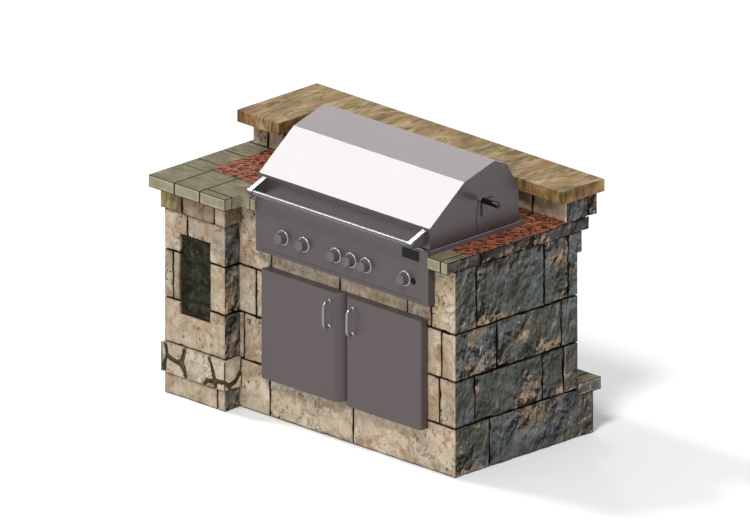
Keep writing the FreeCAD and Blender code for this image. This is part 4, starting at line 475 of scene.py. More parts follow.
def steel(name, colour, grain=(1, 60, 60), roughness=0.42, metallic=0.35, wear=0.1):
    """Brushed sheet: a fine grain along one direction and faint cloudy wear."""
    p = Paint(name)
    lines = p.noise(stretched(p, p.coords, grain), 18, 6, 0.7)
    base = p.ramp(lines, [(0.3, scaled(colour, 1 - wear)), (0.7, scaled(colour, 1 + wear))])
    clouds = p.noise(p.coords, 4, 4, 0.6, 0.4)
    base = p.cover(base, scaled(colour, 0.85), clouds, 0.35, 0.7, 0.25)
    matt = p.ramp(lines, [(0.3, roughness - 0.02), (0.7, roughness + 0.03)])
    return p.finish(base, matt, lines, 0.06, 0.0006, metallic, gloss=0.5)


def plastic(name, colour, roughness, gloss=0.15):
    """Moulded plastic with a fine texture."""
    p = Paint(name)
    fine = p.noise(p.coords, 300, 4)
    base = p.ramp(fine, [(0.3, scaled(colour, 0.85)), (0.7, colour)])
    return p.finish(base, roughness, fine, 0.1, 0.0004, gloss=gloss)


bpy.context.scene.view_settings.view_transform = "Standard"
add_camera()
add_world()
add_floor()
add_light("key", (0.223, -0.553, 0.803), 1.75, 14)
add_light("hood_glow", (-0.667, -0.144, 0.731), 1.18, 8, (0.92, 1, 1))
add_light("top_glow", (-0.667, 0.392, 0.634), 0.2, 8)

TAN = sandstone("sandstone_tan", srgb(186, 171, 150), srgb(166, 145, 118),
                srgb(138, 98, 64), srgb(108, 110, 112))
# Paler copy of the tan sandstone: painted light over the shade that the panel and doors cast on
# the front wall.
FRONT_TAN_PAINTED_LIGHT = sandstone("sandstone_front_painted_light", srgb(204, 189, 167), srgb(184, 163, 136),
                      srgb(152, 112, 76), srgb(116, 118, 120))
# Paler copy for the bar wall: painted light over the shade under the bar top's overhang.
BAR_TAN_PAINTED_LIGHT = sandstone("bar_sandstone_painted_light", srgb(206, 192, 170), srgb(186, 168, 142),
                    srgb(148, 118, 86), srgb(112, 116, 118))
CAP = cap_stone("cap_stone")
BAND_SIDE = sandstone("band_side_stone", srgb(136, 118, 94), srgb(112, 96, 76),
                      srgb(82, 66, 48), srgb(84, 84, 80))
RUBBLE = sandstone("rubble_stone", srgb(204, 190, 168), srgb(170, 154, 130),
                   srgb(128, 106, 78), srgb(104, 106, 98), srgb(70, 62, 40))
DARK = dark_stone("split_dark_stone", (0.92, 0.90, 0.90), 0.01)
STRIP = dark_stone("strip_dark_stone", (0.58, 0.50, 0.42), 0.04)
COPING = coping_stone("coping_khaki")
GRANITE = granite("granite_terracotta")
ONYX = onyx("bar_onyx")
SLATE = slate("slate_blocks")
MORTAR = concrete("dark_mortar", srgb(44, 38, 30))
MOSS = concrete("mossy_mortar", srgb(116, 106, 72))


# Stones: each facing stone gets a rough face of its own

# Metres: mesh steps on a face, depths of wear, and how far from an edge each kind reaches
GRID = 0.0105
EDGE_WEAR = 0.013
EDGE_REACH = 0.010
ROUND_REACH = 0.009
RIM_REACH = 0.004
FLAKE_REACH = 0.035
MITRE_REACH = 0.035
JOINT_DEPTH = 0.005
JOINT_CUTS = (-0.005, -0.002, 0.002, 0.005)
TAN_RELIEF = 0.004
TILE_GRID = 0.03
TILE_FRAME = (0.0026, 0.0042, 0.0085, 0.0110)
TILE_SWELL = 0.0006
COBBLE_GRID = 0.005
COBBLE_EDGE = 0.005
COBBLE_DROP = 0.006
COBBLE_SWELL = 0.004
BED_BACK = 0.010
BED_THICK = 0.008
BED_GAP = 0.003
MORTAR_WIDEST = 0.008
ON_FACE = 1e-5
TINY = 0.0005

# How fine the relief's pattern is
TAN_SCALE = 9
DARK_SCALE = 15

# Slate joints below its top, share of its width left of the upright joint, strip's joints in y
SLATE_JOINTS = (0.025, 0.194, 0.280)
SLATE_SHARE = 0.45
APRON_JOINTS = (-0.1987, 0.0988)

# Between the left and right dark walls, and between the bar wall's faces
LEFT_SIDES_X = -0.7
BAR_MIDDLE_Y = 0.4


def loose_parts(mesh):
    """Welded points of a mesh and the polygons of each loose part."""
    points = np.array([vertex.co[:] for vertex in mesh.vertices])
    keys = {}
    first = [keys.setdefault(key, index)
             for index, key in enumerate(map(tuple, np.round(points, 5)))]
    parent = list(range(len(points)))

    def root(i):
        while parent[i] != i:
            parent[i] = parent[parent[i]]
            i = parent[i]
        return i

    polygons = [[first[i] for i in polygon.vertices] for polygon in mesh.polygons]
    for corners in polygons:
        for other in corners[1:]:
            parent[root(other)] = root(corners[0])
    groups = {}
    for corners in polygons:
        groups.setdefault(root(corners[0]), []).append(corners)
    return points, list(groups.values())


def loose_block(points, polygons):
    """Small mesh of one stone, with its flat faces whole again."""
    bm = bmesh.new()
    made = {i: bm.verts.new(points[i]) for i in sorted({i for c in polygons for i in c})}
    for corners in polygons:
        if len(set(corners)) > 2:
            try:
                bm.faces.new([made[i] for i in corners])
            except ValueError:
                pass
    bmesh.ops.recalc_face_normals(bm, faces=bm.faces)
    bmesh.ops.dissolve_limit(bm, angle_limit=0.02, verts=bm.verts[:], edges=bm.edges[:])
    return bm


def stones_of(node):
    """A small mesh for each stone of a node."""
    points, groups = loose_parts(nodes[node].data)
    for polygons in groups:
        yield loose_block(points, polygons)


def limits(bm):
    """Low and high corner of a small mesh."""
    coords = np.array([vertex.co[:] for vertex in bm.verts])
    return coords.min(axis=0), coords.max(axis=0)


def slice_block(bm, axis, places):
    """Cuts every face of a stone at the given places along an axis."""
    normal = Vector((0, 0, 0))
    normal[axis] = 1
    for place in places:
        spot = Vector((0, 0, 0))
        spot[axis] = place
        bmesh.ops.bisect_plane(bm, geom=bm.verts[:] + bm.edges[:] + bm.faces[:],
                               plane_co=spot, plane_no=normal)


def spread(low, high, step):
    """Even places between two ends, without the ends."""
    count = max(1, round((high - low) / step))
    return [low + (high - low) * k / count for k in range(1, count)]


def mitred_sides(bm, axis, outward, run):
    """Ends of a stone along run that are mitred: those edges stay straight."""
    sides = set()
    for face in bm.faces:
        normal = face.normal
        if normal[axis] * outward < -0.5 and abs(normal[run]) > 0.5:
            sides.add(1 if normal[run] > 0 else 0)
    return sides


def split_height(spot, amount):
    """Height of a split stone face: long broken ridges over a slow swell."""
    swell = noise.fractal(spot * 0.8, 1.0, 2.1, 4)
    skew = Vector((spot.x + 0.5 * spot.z, spot.y + 0.5 * spot.z, spot.z * 0.75 - 0.3 * spot.y))
    ridge = abs(noise.noise(skew * 1.5)) + 0.5 * abs(noise.noise(skew * 3.1))
    return amount * (0.45 * swell - 0.9 * ridge + 0.1)


def front_and_slope(bm, axis, outward):
    """Corners of a stone's outer face, and of the faces that slope away from it."""
    front, slope = set(), set()
    for face in bm.faces:
        ahead = face.normal[axis] * outward
        if ahead > 0.9:
            front.update(face.verts)
        elif ahead > 0.3:
            slope.update(face.verts)
    return front, slope


def roughen(bm, axis, outward, amount, scale, seed, joints=()):
    """Pushes a stone's outer face in and out, wears its edges, marks rims for painted shade in the
    joints and on the edges, and marks bands for flakes.
    """
    run = 1 - axis
    sides = mitred_sides(bm, axis, outward, run)
    chance = (math.sin(seed * 12.9898) * 43758.5) % 1.0
    flaky = 0.35 + 0.65 * chance
    low, high = limits(bm)
    slice_block(bm, run, spread(low[run], high[run], GRID))
    slice_block(bm, 2, spread(low[2], high[2], GRID))
    slice_block(bm, run, [joint + gap for joint in joints for gap in JOINT_CUTS])
    rim = bm.verts.layers.float.new("rim")
    flake_and_highlight = bm.verts.layers.float.new("flake_and_highlight")
    bm.normal_update()
    front, slope = front_and_slope(bm, axis, outward)
    shift = Vector((seed * 1.3, seed * 0.7, seed * 0.31))
    for vertex in bm.verts:
        # Sides and back sit in the joints and take the full rim: painted shade in most stones, a
        # brown seam in slate.
        if vertex not in front and vertex not in slope:
            vertex[rim] = 1.0
            continue
        co = vertex.co
        gaps = [co[run] - low[run], high[run] - co[run], co[2] - low[2], high[2] - co[2]]
        free = [gap for side, gap in enumerate(gaps) if side not in sides]
        held = [gap for side, gap in enumerate(gaps) if side in sides]
        hold = min(1.0, max(0.0, min(held + [1.0]) - 0.003) / MITRE_REACH)
        nearest = max(0.0, min(free + [1.0] + [abs(co[run] - joint) for joint in joints]))
        spot = co * scale + shift
        wear = 0.5 + 0.5 * noise.noise(co * 22.0 + shift)
        push = split_height(spot, amount) * hold
        push -= hold * math.exp(-nearest / ROUND_REACH) * (0.0012 + amount * 0.6 * wear * wear)
        parted = any(abs(co[run] - joint) < 0.003 for joint in joints)
        push -= JOINT_DEPTH if parted else 0.0
        in_front = vertex in front
        co[axis] += outward * min(push, 0.0) * (1.0 if in_front else 0.7)
        for side, gap in enumerate(gaps):
            if side in sides or gap > 0.03:
                continue
            inward = math.exp(-max(gap, 0) / EDGE_REACH) * EDGE_WEAR * wear ** 4 * hold
            co[run if side < 2 else 2] += inward if side in (0, 2) else -inward
        # Rim near the edges: painted shade where the face rounds off into a joint, stronger on
        # faces that slope away; a brown seam in slate.
        dirt_and_shade = (0.35 if in_front else 0.9) * math.exp(-nearest / RIM_REACH)
        vertex[rim] = 1.0 if parted else dirt_and_shade
        # Flake band along the bottom edge and one end.
        end_band = 0.0 if 0 in sides and axis == 0 else math.exp(-gaps[axis] / FLAKE_REACH)
        vertex[flake_and_highlight] = flaky * max(math.exp(-gaps[2] / FLAKE_REACH), 0.9 * end_band)


def shade_front(bm, axis, outward):
    """Smooth shading on a stone's outer face alone."""
    for face in bm.faces:
        face.smooth = face.normal[axis] * outward > 0.25


class Gathered:
    """Collects small meshes into one piece, each with a tone, random or as given."""

    def __init__(self):
        self.bm = bmesh.new()
        self.layers = {name: self.bm.verts.layers.float.new(name)
                       for name in ("tone", "rim", "flake_and_highlight")}

    def add(self, bm, tone=None):
        tone = float(rng.random()) if tone is None else tone
        own = {name: bm.verts.layers.float.get(name) for name in ("rim", "flake_and_highlight")}
        copy = {}
        for vertex in bm.verts:
            twin = self.bm.verts.new(vertex.co)
            twin[self.layers["tone"]] = tone
            for name, layer in own.items():
                if layer is not None:
                    twin[self.layers[name]] = vertex[layer]
            copy[vertex] = twin
        for face in bm.faces:
            twin = self.bm.faces.new([copy[vertex] for vertex in face.verts])
            twin.smooth = face.smooth
            twin.material_index = face.material_index
        bm.free()

    def piece(self, name, material, body="island", replaced=()):
        mesh = bpy.data.meshes.new(name)
        self.bm.to_mesh(mesh)
        self.bm.free()
        for one in material if isinstance(material, list) else [material]:
            mesh.materials.append(one)
        return placed(name, mesh, body, replaced)


def placed(name, mesh, body, replaced):
    """Adds a mesh as a piece that rides on a body."""
    made = added(name, mesh)
    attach(made, body)
    if replaced:
        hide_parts(*replaced)
    return made


def stone_piece(name, node, axis_of, amount, scale, material, pick=None):
    """One piece for a stone node, with each of its stones given a rough face."""
    out = Gathered()
    for number, bm in enumerate(stones_of(node)):
        low, high = limits(bm)
        axis, outward = axis_of(low, high)
        roughen(bm, axis, outward, amount, scale, 3.7 * number + len(node))
        bmesh.ops.recalc_face_normals(bm, faces=bm.faces)
        shade_front(bm, axis, outward)
        index = pick(low) if pick else 0
        for face in bm.faces:
            face.material_index = index
        out.add(bm)
    out.piece(name, material, replaced=[node])


def in_cap_band(low):
    """1 for a stone of the band under the counter, else 0."""
    return int(low[2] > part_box("pillar_cap_stones")[0][2] - TINY)


def facing(axis, outward):
    """The same facing direction for every stone of a node."""
    return lambda low, high: (axis, outward)


def side_facing(low, high):
    """Left on the left sides, else right."""
    return 0, (1 if (low[0] + high[0]) / 2 > LEFT_SIDES_X else -1)


def front_or_back(low, high):
    """Forward or back, for the two faces of the bar wall."""
    return 1, (1 if low[1] > BAR_MIDDLE_Y else -1)


def tile_piece(name, node, dark_ends=False):
    """Sawn slabs whose soft edges are painted: painted shade as a dark band on each edge and a
    painted highlight as a pale frame inside it.
    """
    seam_end, frame_end = TILE_FRAME[0] + 0.0003, TILE_FRAME[2]
    out = Gathered()
    for bm in stones_of(node):
        low, high = limits(bm)
        for axis in range(3):
            cuts = [low[axis] + gap for gap in TILE_FRAME]
            cuts += [high[axis] - gap for gap in TILE_FRAME]
            inner = TILE_FRAME[-1]
            cuts += spread(low[axis] + inner, high[axis] - inner, TILE_GRID)
            slice_block(bm, axis, cuts)
        rim = bm.verts.layers.float.new("rim")
        flake_and_highlight = bm.verts.layers.float.new("flake_and_highlight")
        for vertex in bm.verts:
            gaps = sorted(min(vertex.co[k] - low[k], high[k] - vertex.co[k]) for k in range(3))
            # Band on each edge for painted shade, and the band inside it for the painted
            # highlight.
            vertex[rim] = 1.0 if gaps[1] < seam_end else 0.0
            vertex[flake_and_highlight] = 1.0 if seam_end < gaps[1] < frame_end else 0.0
            wave = noise.noise(vertex.co * 18.0)
            top = max(0.0, vertex.co.z - high[2] + 0.001) / 0.001
            vertex.co.z -= TILE_SWELL * (1 + wave) * min(1.0, top)
        bm.normal_update()
        for face in bm.faces:
            face.material_index = int(dark_ends and face.normal.x > 0.7)
        out.add(bm)
    out.piece(name, [COPING, DARK] if dark_ends else COPING, replaced=[node])


def borders(bm, sheets, foot, top):
    """A cobble's border edges on each outer side of the band, with how far each rounds off and how
    much painted shade it takes.
    """
    on_sheet = {}
    for face in bm.faces:
        spot = face.calc_center_median()
        for sheet, (axis, place, way) in enumerate(sheets):
            if face.normal[axis] * way > 0.9 and abs(spot[axis] - place) < 0.001:
                on_sheet[face] = sheet
    found = [[] for sheet in sheets]
    for edge in bm.edges:
        inside = [on_sheet[face] for face in edge.link_faces if face in on_sheet]
        if len(inside) == 1:
            a, b = (vertex.co.copy() for vertex in edge.verts)
            level = any(max(abs(a.z - z), abs(b.z - z)) < 0.004 for z in (foot, top))
            found[inside[0]].append((a, b, 0.4 if level else 1.0))
    return found


def edge_share(spot, border, wide):
    """How near a point is to a border: one on it, nothing at the given distance."""
    share = 0.0
    for a, b, wear in border:
        foot, part = intersect_point_line(spot, a, b)
        foot = a if part < 0 else b if part > 1 else foot
        share = max(share, wear * (1 - (foot - spot).length / wide))
    return share


def rubble_band(node):
    """Many-sided rubble stones with rounded, worn faces; the corner stones wrap round."""
    out = Gathered()
    points, groups = loose_parts(nodes[node].data)
    low, high = points.min(axis=0), points.max(axis=0)
    sheets = ((1, low[1], -1), (0, high[0], 1), (0, low[0], -1))
    for number, polygons in enumerate(groups):
        bm = loose_block(points, polygons)
        found = borders(bm, sheets, low[2], high[2])
        for axis in range(3):
            slice_block(bm, axis, spread(low[axis], high[axis], COBBLE_GRID))
        rim = bm.verts.layers.float.new("rim")
        shift = Vector((number * 3.1, number * 1.7, number * 0.9))
        for vertex in bm.verts:
            spot = vertex.co.copy()
            outer = [(axis, way, border) for (axis, place, way), border in zip(sheets, found)
                     if abs(spot[axis] - place) < ON_FACE]
            for axis, way, border in outer:
                if not border:
                    continue
                swell = 0.5 + 0.5 * noise.fractal(spot * 14.0 + shift, 1.0, 2.1, 4)
                wide = COBBLE_EDGE * (0.5 + 1.8 * max(0.0, noise.noise(spot * 26.0 + shift)))
                edge = edge_share(spot, border, wide)
                drop = COBBLE_DROP * edge ** 1.5 + COBBLE_SWELL * max(0.0, swell)
                vertex.co[axis] -= way * drop
                # Rim: olive seam colour laid on as painted shade where the face rounds off into a
                # gap.
                vertex[rim] = max(vertex[rim], min(1.0, edge ** 2 * (0.3 + 0.8 * swell)))
            # Sides inside the band take the seam colour as painted shade; tops and feet take
            # little.
            if not outer:
                level = min(spot.z - low[2], high[2] - spot.z) < 0.001
                vertex[rim] = 0.15 if level else 0.7
        for face in bm.faces:
            face.smooth = True
        out.add(bm)
    made = out.piece("rubble_band", RUBBLE, replaced=[node])
    made.data.set_sharp_from_angle(angle=math.radians(50))


def brick(low, high):
    """Small block between two corners."""
    bm = bmesh.new()
    bmesh.ops.create_cube(bm, size=1.0)
    for vertex in bm.verts:
        for k in range(3):
            vertex.co[k] = low[k] if vertex.co[k] < 0 else high[k]
    return bm


def slabs(coords):
    """Boxes of a stone between its heights, each no wider than the narrower end."""
    levels = []
    for height in sorted(set(np.round(coords[:, 2], 3))):
        ring = coords[abs(coords[:, 2] - height) < 0.0006]
        levels.append((ring.min(axis=0), ring.max(axis=0)))
    out = []
    for (low_a, high_a), (low_b, high_b) in zip(levels, levels[1:]):
        low, high = np.maximum(low_a, low_b), np.minimum(high_a, high_b)
        low[2], high[2] = low_a[2], high_b[2]
        out.append((low, high))
    return out


def mortar(name, names, recess):
    """Mortar between neighbouring stones, set back from their faces."""
    boxes = []
    for node in names:
        points, groups = loose_parts(nodes[node].data)
        for polygons in groups:
            boxes += slabs(points[sorted({i for corners in polygons for i in corners})])
    out = Gathered()
    for number, (low_a, high_a) in enumerate(boxes):
        for low_b, high_b in boxes[number + 1:]:
            low, high = np.maximum(low_a, low_b), np.minimum(high_a, high_b)
            parted = [axis for axis in range(3) if high[axis] < low[axis] - TINY]
            if len(parted) != 1 or low[parted[0]] - high[parted[0]] > MORTAR_WIDEST:
                continue
            # Set back along the joint, and from stone to stone across it
            inset = np.full(3, recess)
            inset[parted] = (high - low)[parted]
            low, high = low + inset, high - inset
            if min(high - low) > TINY:
                out.add(brick(low, high), 0.5)
    out.piece(name, MORTAR)


def rubble_bed(node):
    """Mossy mortar along the band's three faces, seen in the joints of the rubble."""
    low, high = (Vector(corner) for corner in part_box(node))
    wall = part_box("front_stones")[0][1]
    left, front, right = low.x + BED_BACK, low.y + BED_BACK, high.x - BED_BACK
    behind, foot, top = front + BED_THICK, low.z + BED_GAP, high.z - BED_GAP
    out = Gathered()
    for start, end in (((left, front), (right, behind)),
                       ((left, behind), (left + BED_THICK, high.y - BED_GAP)),
                       ((right - BED_THICK, behind), (right, wall - 2 * TINY))):
        out.add(brick((*start, foot), (*end, top)), 0.5)
    out.piece("rubble_bed", MOSS)


def slate_blocks(node):
    """Slate panel as rough blocks in rows, with one upright joint in the second row."""
    low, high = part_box(node)
    rows = [high[2] - drop for drop in SLATE_JOINTS] + [low[2]]
    middle = low[0] + SLATE_SHARE * (high[0] - low[0])
    out = Gathered()
    for number, (top, foot) in enumerate(zip([high[2]] + rows, rows)):
        cuts = [low[0], middle, high[0]] if number == 1 else [low[0], high[0]]
        for left, right in zip(cuts, cuts[1:]):
            bm = brick((left, low[1], foot), (right, high[1], top))
            roughen(bm, 1, -1, 0.0025, 20.0, 5.3 * number + left)
            shade_front(bm, 1, -1)
            out.add(bm)
    out.piece("slate_blocks", SLATE, replaced=[node])


def apron_stones(node):
    """Strip under the counter's right edge: stones in one row, with a pale far end."""
    out = Gathered()
    for bm in stones_of(node):
        roughen(bm, 0, 1, 0.005, DARK_SCALE, 4.2, APRON_JOINTS)
        rim = bm.verts.layers.float.get("rim")
        end = max(vertex.co.y for vertex in bm.verts)
        # The far end keeps little of the painted joint shade.
        for vertex in bm.verts:
            if vertex.co.y > end - TINY:
                vertex[rim] = min(vertex[rim], 0.2)
        bmesh.ops.recalc_face_normals(bm, faces=bm.faces)
        shade_front(bm, 0, 1)
        out.add(bm)
    out.piece("apron_stones", STRIP, replaced=[node])


def tan_wall(name, node, faces, material):
    """Sandstone facing with shallow relief."""
    stone_piece(name, node, faces, TAN_RELIEF, TAN_SCALE, material)


def dark_wall(name, node, faces, relief, material=DARK, pick=None):
    """Split dark facing."""
    stone_piece(name, node, faces, relief, DARK_SCALE, material, pick)


tan_wall("front_wall_stones", "front_stones", facing(1, -1), FRONT_TAN_PAINTED_LIGHT)
dark_wall("right_wall_stones", "right_end_stones", facing(0, 1), 0.009)
dark_wall("left_wall_stones", "left_end_stones", facing(0, -1), 0.010)
tan_wall("back_wall_stones", "back_stones", facing(1, 1), TAN)
tan_wall("pillar_front", "pillar_front_stones", facing(1, -1), TAN)
dark_wall("pillar_sides", "pillar_side_stones", side_facing, 0.007, [DARK, BAND_SIDE], in_cap_band)
stone_piece("pillar_caps", "pillar_cap_stones", facing(1, -1), 0.006, 12.0, CAP)
tan_wall("bar_wall_faces", "bar_wall_stones", front_or_back, BAR_TAN_PAINTED_LIGHT)
dark_wall("bar_wall_ends", "bar_wall_end_stones", side_facing, 0.008)
tile_piece("edge_tiles", "counter_edge_tiles")
tile_piece("ledge_tiles", "foot_ledge_slabs", dark_ends=True)
rubble_band("pillar_rubble_stones")
rubble_bed("pillar_rubble_stones")
slate_blocks("pillar_slate_panel")
mortar("wall_mortar", ["front_stones", "back_stones", "right_end_stones", "left_end_stones",
                       "pillar_front_stones", "pillar_side_stones", "bar_wall_stones",
                       "bar_wall_end_stones"], 0.010)
mortar("tile_mortar", ["counter_edge_tiles", "foot_ledge_slabs"], 0.0022)
apron_stones("counter_side_apron")


# Materials for the CAD pieces that stay as they are

def paint(material, *names):
    """Gives CAD nodes a material."""
    for name in names:
        for slot in nodes[name].material_slots:
            slot.material = material


PANEL = steel("brushed_panel", srgb(87, 78, 78), roughness=0.36)
SIDES = steel("brushed_steel", srgb(84, 77, 77), (30, 1, 30))
HOOD = steel("hood_steel", srgb(84, 75, 76), roughness=0.3)
TUBE = steel("tube_steel", srgb(112, 107, 109), (1, 40, 40), 0.28, 0.75, 0.05)
DOORS = steel("door_steel", srgb(90, 80, 80), (60, 60, 1))
BRIGHT = steel("polished_steel_and_highlight", srgb(205, 203, 205), (1, 40, 40), 0.22, 0.85, 0.05)
PLATED = steel("galvanised", srgb(150, 152, 154), (8, 8, 8), 0.5, 0.7, 0.2)
ENAMEL = steel("fire_steel", srgb(84, 78, 76), (12, 40, 12), 0.5, 0.5, 0.2)
PIPE = plastic("pipe_enamel", srgb(52, 54, 58), 0.45)
BRASS = steel("valve_brass", srgb(176, 142, 84), (20, 20, 20), 0.32, 0.9)
KNOB = steel("knob_metal", srgb(102, 96, 97), (40, 1, 40), 0.33, 0.45)
TRIM = steel("trim_steel", srgb(106, 99, 105), (30, 1, 30), 0.4, 0.2)
RING = steel("ring_steel", srgb(172, 168, 170), (1, 40, 40), 0.3, 0.65, 0.05)
PULL = steel("pull_steel", srgb(146, 141, 143), (1, 40, 40), 0.26, 0.75, 0.05)
BLACK = plastic("black_plastic", srgb(12, 12, 12), 0.38)
GLOSSY = plastic("glossy_black", srgb(8, 8, 8), 0.3, 0.35)
RUBBER = plastic("bumper_rubber", srgb(38, 38, 38), 0.8)
MAGNET = plastic("magnet_housing", srgb(210, 208, 200), 0.55)
BLOCK = concrete("block_concrete", srgb(138, 134, 126))

paint(PANEL, "control_panel")
paint(HOOD, "hood_shell", "hood_cover_plate")
paint(DOORS, "door_left", "door_right")
paint(TRIM, "grill_trim")
paint(SIDES, "back_shield", "door_frame", "hood_pivot_brackets", "spit_brackets",
      "tray_runners", "drip_tray")
paint(ENAMEL, "firebox", "burners", "flame_tamers")
paint(BRIGHT, "warming_rack", "cooking_grates", "spit_rod", "spit_forks", "door_left_pins",
      "door_right_pins", "hood_pivots")
paint(TUBE, "hood_handle")
paint(PLATED, "counter_support_angle")
paint(PIPE, "gas_manifold")
paint(BRASS, "burner_valves")
paint(RUBBER, "hood_bumpers")
paint(MAGNET, "door_magnets")
paint(BLOCK, "block_core", "door_lintel", "counter_board")
paint(GRANITE, "granite_counter")
paint(ONYX, "bar_top")


# Small round pieces, turned and bent in full detail

def skin(bm, rings, closed=False):
    """Joins a row of rings, or of single points, into a closed shape."""
    sides = max(len(ring) for ring in rings)
    for first, second in zip(rings, rings[1:] + rings[:1] if closed else rings[1:]):
        for k in range(sides):
            after = (k + 1) % sides
            corners = [first[k % len(first)], second[k % len(second)],
                       second[after % len(second)], first[after % len(first)]]
            bm.faces.new(list(dict.fromkeys(corners)))
    for end in (rings[0], rings[-1]):
        if len(end) > 1 and not closed:
            bm.faces.new(end)


def lathe(bm, outline, centre, axis, closed=False, sides=56):
    """Adds a shape turned about an axis: its outline is radius and height in millimetres."""
    turn = Vector(axis).to_track_quat("Z", "Y")
    rings = []
    for corner in outline:
        radius, height = corner[0] / 1000, corner[1] / 1000
        ring = []
        for k in range(sides if radius else 1):
            angle = math.tau * k / sides
            spot = Vector((radius * math.cos(angle), radius * math.sin(angle), height))
            ring.append(bm.verts.new(centre + turn @ spot))
        rings.append(ring)
    skin(bm, rings, closed)


def bent_tube(bm, path, radius, across, sides=24):
    """Adds a round bar along a path that lies in a plane square to the across direction."""
    rings = []
    for k, spot in enumerate(path):
        along = (path[min(k + 1, len(path) - 1)] - path[max(k - 1, 0)]).normalized()
        normal = along.cross(across)
        rings.append([bm.verts.new(spot + (normal * math.cos(math.tau * j / sides)
                                           + across * math.sin(math.tau * j / sides)) * radius)
                      for j in range(sides)])
    skin(bm, rings)


def smooth_piece(name, bm, material, body, replaced=(), sharp=40):
    """Finishes a mesh as a smooth piece with crisp edges where it turns sharply."""
    bmesh.ops.recalc_face_normals(bm, faces=bm.faces)
    mesh = bpy.data.meshes.new(name)
    bm.to_mesh(mesh)
    bm.free()
    mesh.shade_smooth()
    mesh.set_sharp_from_angle(angle=math.radians(sharp))
    mesh.materials.append(material)
    placed(name, mesh, body, replaced)


def middle_of(node):
    """Centre of a node's box."""
    low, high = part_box(node)
    return Vector([(a + b) / 2 for a, b in zip(low, high)])


def on_panel(node):
    """Centre of a node, brought to the panel's face."""
    spot = middle_of(node)
    spot.y = PANEL_FACE_Y
    return spot


FRONT = (0, -1, 0)
PANEL_FACE_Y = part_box("knob_bezels")[1][1]
KNOB_OUTLINE = ((0, -30), (3, -30), (3, 2), (24, 2), (25, 2.8), (25, 4.5), (24.2, 6.2),
                (22.6, 27.5), (22, 30), (20.6, 31.5), (18.6, 32), (17.4, 31.6), (0, 31.4))
BEZEL_OUTLINE = ((26.4, 0), (32, 0), (31.8, 1.2), (30.8, 2.9), (29.4, 3.9), (27.6, 4),
                 (26.5, 3.2))
DOME_OUTLINE = ((0, -11), (11.2, -11), (11.2, 2.5), (10.4, 4.6), (8.4, 6.1), (5, 6.9), (0, 7))
COLLAR_OUTLINE = ((11.7, -16), (13.5, -16), (13.5, 0), (14.6, 0), (14.2, 1.1), (12.8, 1.9),
                  (11.8, 1.5))
DISC_OUTLINE = ((0, -16), (13.4, -16), (13.4, -17.2), (0, -17.2))
FOOT_OUTLINE = ((0, 0), (10, 0), (9.8, 1.2), (8.4, 2.4), (6.8, 3.8), (6.3, 6), (0, 6))
GRIP_OUTLINE = ((0, 48), (5.1, 48), (5.1, 0.4), (9, 0), (11.2, 1.2), (12, 4), (12, 88),
                (11.5, 91.5), (9.6, 94.2), (6.5, 95), (0, 95))
PLUG_OUTLINE = ((0, -8), (8.8, -8), (8.8, -0.3), (8, 0.3), (0, 0.6))
PULL_REACH = 0.031
PULL_FOOT = 0.010
PULL_BEND = 0.020
PULL_RADIUS = 0.0062
PLATE_LOW, PLATE_HIGH = (0.518, 0.878), (0.611, 0.921)
PLATE_THICK = 0.0018
PLATE_ROUND = 0.003
PLATE_BEVEL = 0.0006
GUARD_HALF = 0.016
GUARD_GAP = 0.0023
GUARD_THICK = 0.0012
GUARD_SHORT = 0.045


def knobs():
    """Six knobs with a rounded skirt and a dished face, and the rings behind them."""
    rings = bmesh.new()
    for number in range(1, 7):
        node = "knob_%d" % number
        centre = on_panel(node)
        bm = bmesh.new()
        lathe(bm, KNOB_OUTLINE, centre, FRONT)
        smooth_piece("knob_%d_turned" % number, bm, KNOB, node, [node])
        lathe(rings, BEZEL_OUTLINE, centre, FRONT, closed=True)
    smooth_piece("knob_rings", rings, RING, "island", ["knob_bezels"])


def igniter():
    """Domed black button in a thin black ring."""
    centre = on_panel("igniter_button")
    bm = bmesh.new()
    lathe(bm, DOME_OUTLINE, centre, FRONT)
    smooth_piece("igniter_dome", bm, BLACK, "igniter", ["igniter_button"])
    bm = bmesh.new()
    lathe(bm, COLLAR_OUTLINE, centre, FRONT, closed=True)
    lathe(bm, DISC_OUTLINE, centre, FRONT)
    smooth_piece("igniter_ring", bm, BLACK, "island", ["igniter_housing"])


def door_pull(side):
    """Bent tube pull with flared feet."""
    node = "door_%s_pull" % side
    low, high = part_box(node)
    x, face = middle_of(node).x, high[1]
    out = face - PULL_REACH
    foot, top = low[2] + PULL_FOOT, high[2] - PULL_FOOT
    path = [Vector((x, face, foot))]
    for turn in range(13):
        angle = math.pi / 2 * turn / 12
        path.append(Vector((x, out + PULL_BEND * (1 - math.sin(angle)),
                            foot + PULL_BEND * (1 - math.cos(angle)))))
    path += [Vector((x, spot.y, foot + top - spot.z)) for spot in reversed(path)]
    bm = bmesh.new()
    bent_tube(bm, path, PULL_RADIUS, Vector((1, 0, 0)))
    for height in (foot, top):
        lathe(bm, FOOT_OUTLINE, Vector((x, face, height)), FRONT, sides=40)
    smooth_piece("pull_" + side, bm, PULL, "door_" + side, [node])


def grip():
    """Black hand grip with rounded ends on the spit."""
    centre = middle_of("spit_grip")
    centre.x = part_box("spit_grip")[0][0]
    bm = bmesh.new()
    lathe(bm, GRIP_OUTLINE, centre, (1, 0, 0))
    smooth_piece("grip_turned", bm, GLOSSY, "spit", ["spit_grip"])


def handle_caps():
    """Domed plugs in the ends of the hood's handle tube."""
    low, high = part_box("hood_handle")
    middle = middle_of("hood_handle")
    bm = bmesh.new()
    for x, way in ((low[0], -1), (high[0], 1)):
        middle.x = x
        lathe(bm, PLUG_OUTLINE, middle, (way, 0, 0), sides=40)
    smooth_piece("handle_caps", bm, TUBE, "hood")


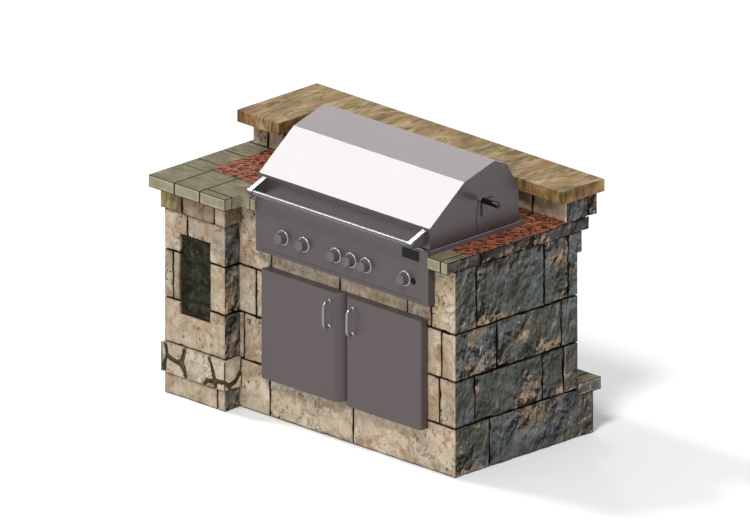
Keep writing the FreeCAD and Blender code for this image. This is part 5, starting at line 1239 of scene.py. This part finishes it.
def brackets():
    """Handle brackets with brushed sides and a painted highlight: their upper faces take the pale
    polished steel.
    """
    out = Gathered()
    for bm in stones_of("hood_handle_brackets"):
        bm.normal_update()
        for face in bm.faces:
            # Painted highlight: faces turned upward get the pale polished steel.
            face.material_index = int(face.normal.z > 0.5)
        out.add(bm, 0.5)
    out.piece("handle_gussets", [SIDES, BRIGHT], "hood", ["hood_handle_brackets"])


def bare_plate():
    """Thin black plate on the panel, with round corners, a small bevel and no mark."""
    corners = []
    for quarter, (right, up) in enumerate(((1, 1), (0, 1), (0, 0), (1, 0))):
        x = PLATE_HIGH[0] - PLATE_ROUND if right else PLATE_LOW[0] + PLATE_ROUND
        z = PLATE_HIGH[1] - PLATE_ROUND if up else PLATE_LOW[1] + PLATE_ROUND
        for step in range(7):
            turn = math.radians(90 * quarter + 15 * step)
            corners.append((x, z, math.cos(turn), math.sin(turn)))
    bm = bmesh.new()
    face = PANEL_FACE_Y - PLATE_THICK
    rings = []
    for y, cut in ((PANEL_FACE_Y, 0), (face + PLATE_BEVEL, 0), (face, PLATE_BEVEL)):
        reach = PLATE_ROUND - cut
        rings.append([bm.verts.new((x + reach * c, y, z + reach * s)) for x, z, c, s in corners])
    skin(bm, rings)
    smooth_piece("bare_plate", bm, BLACK, "island")


def slot_guard():
    """Curved strip inside the hood's side, on the trim, that closes the spit's slot."""
    pivot, spit = middle_of("hood_pivots"), middle_of("spit_rod")
    trim_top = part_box("grill_trim")[1][2]
    reach = math.hypot(pivot.y - spit.y, spit.z - pivot.z)
    start = math.asin((trim_top - pivot.z) / reach)
    end = math.atan2(spit.z - pivot.z, pivot.y - spit.y) - GUARD_SHORT
    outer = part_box("hood_shell")[1][0] - GUARD_GAP
    inner = outer - GUARD_THICK
    bm = bmesh.new()
    rings = []
    for step in range(25):
        angle = start + (end - start) * step / 24
        ring = []
        for side, x in ((-1, outer), (1, outer), (1, inner), (-1, inner)):
            radius = reach + side * GUARD_HALF
            z = max(trim_top, pivot.z + radius * math.sin(angle))
            ring.append(bm.verts.new((x, pivot.y - radius * math.cos(angle), z)))
        rings.append(ring)
    skin(bm, rings)
    smooth_piece("slot_guard", bm, HOOD, "island", sharp=25)


knobs()
igniter()
door_pull("left")
door_pull("right")
grip()
handle_caps()
brackets()
bare_plate()
slot_guard()
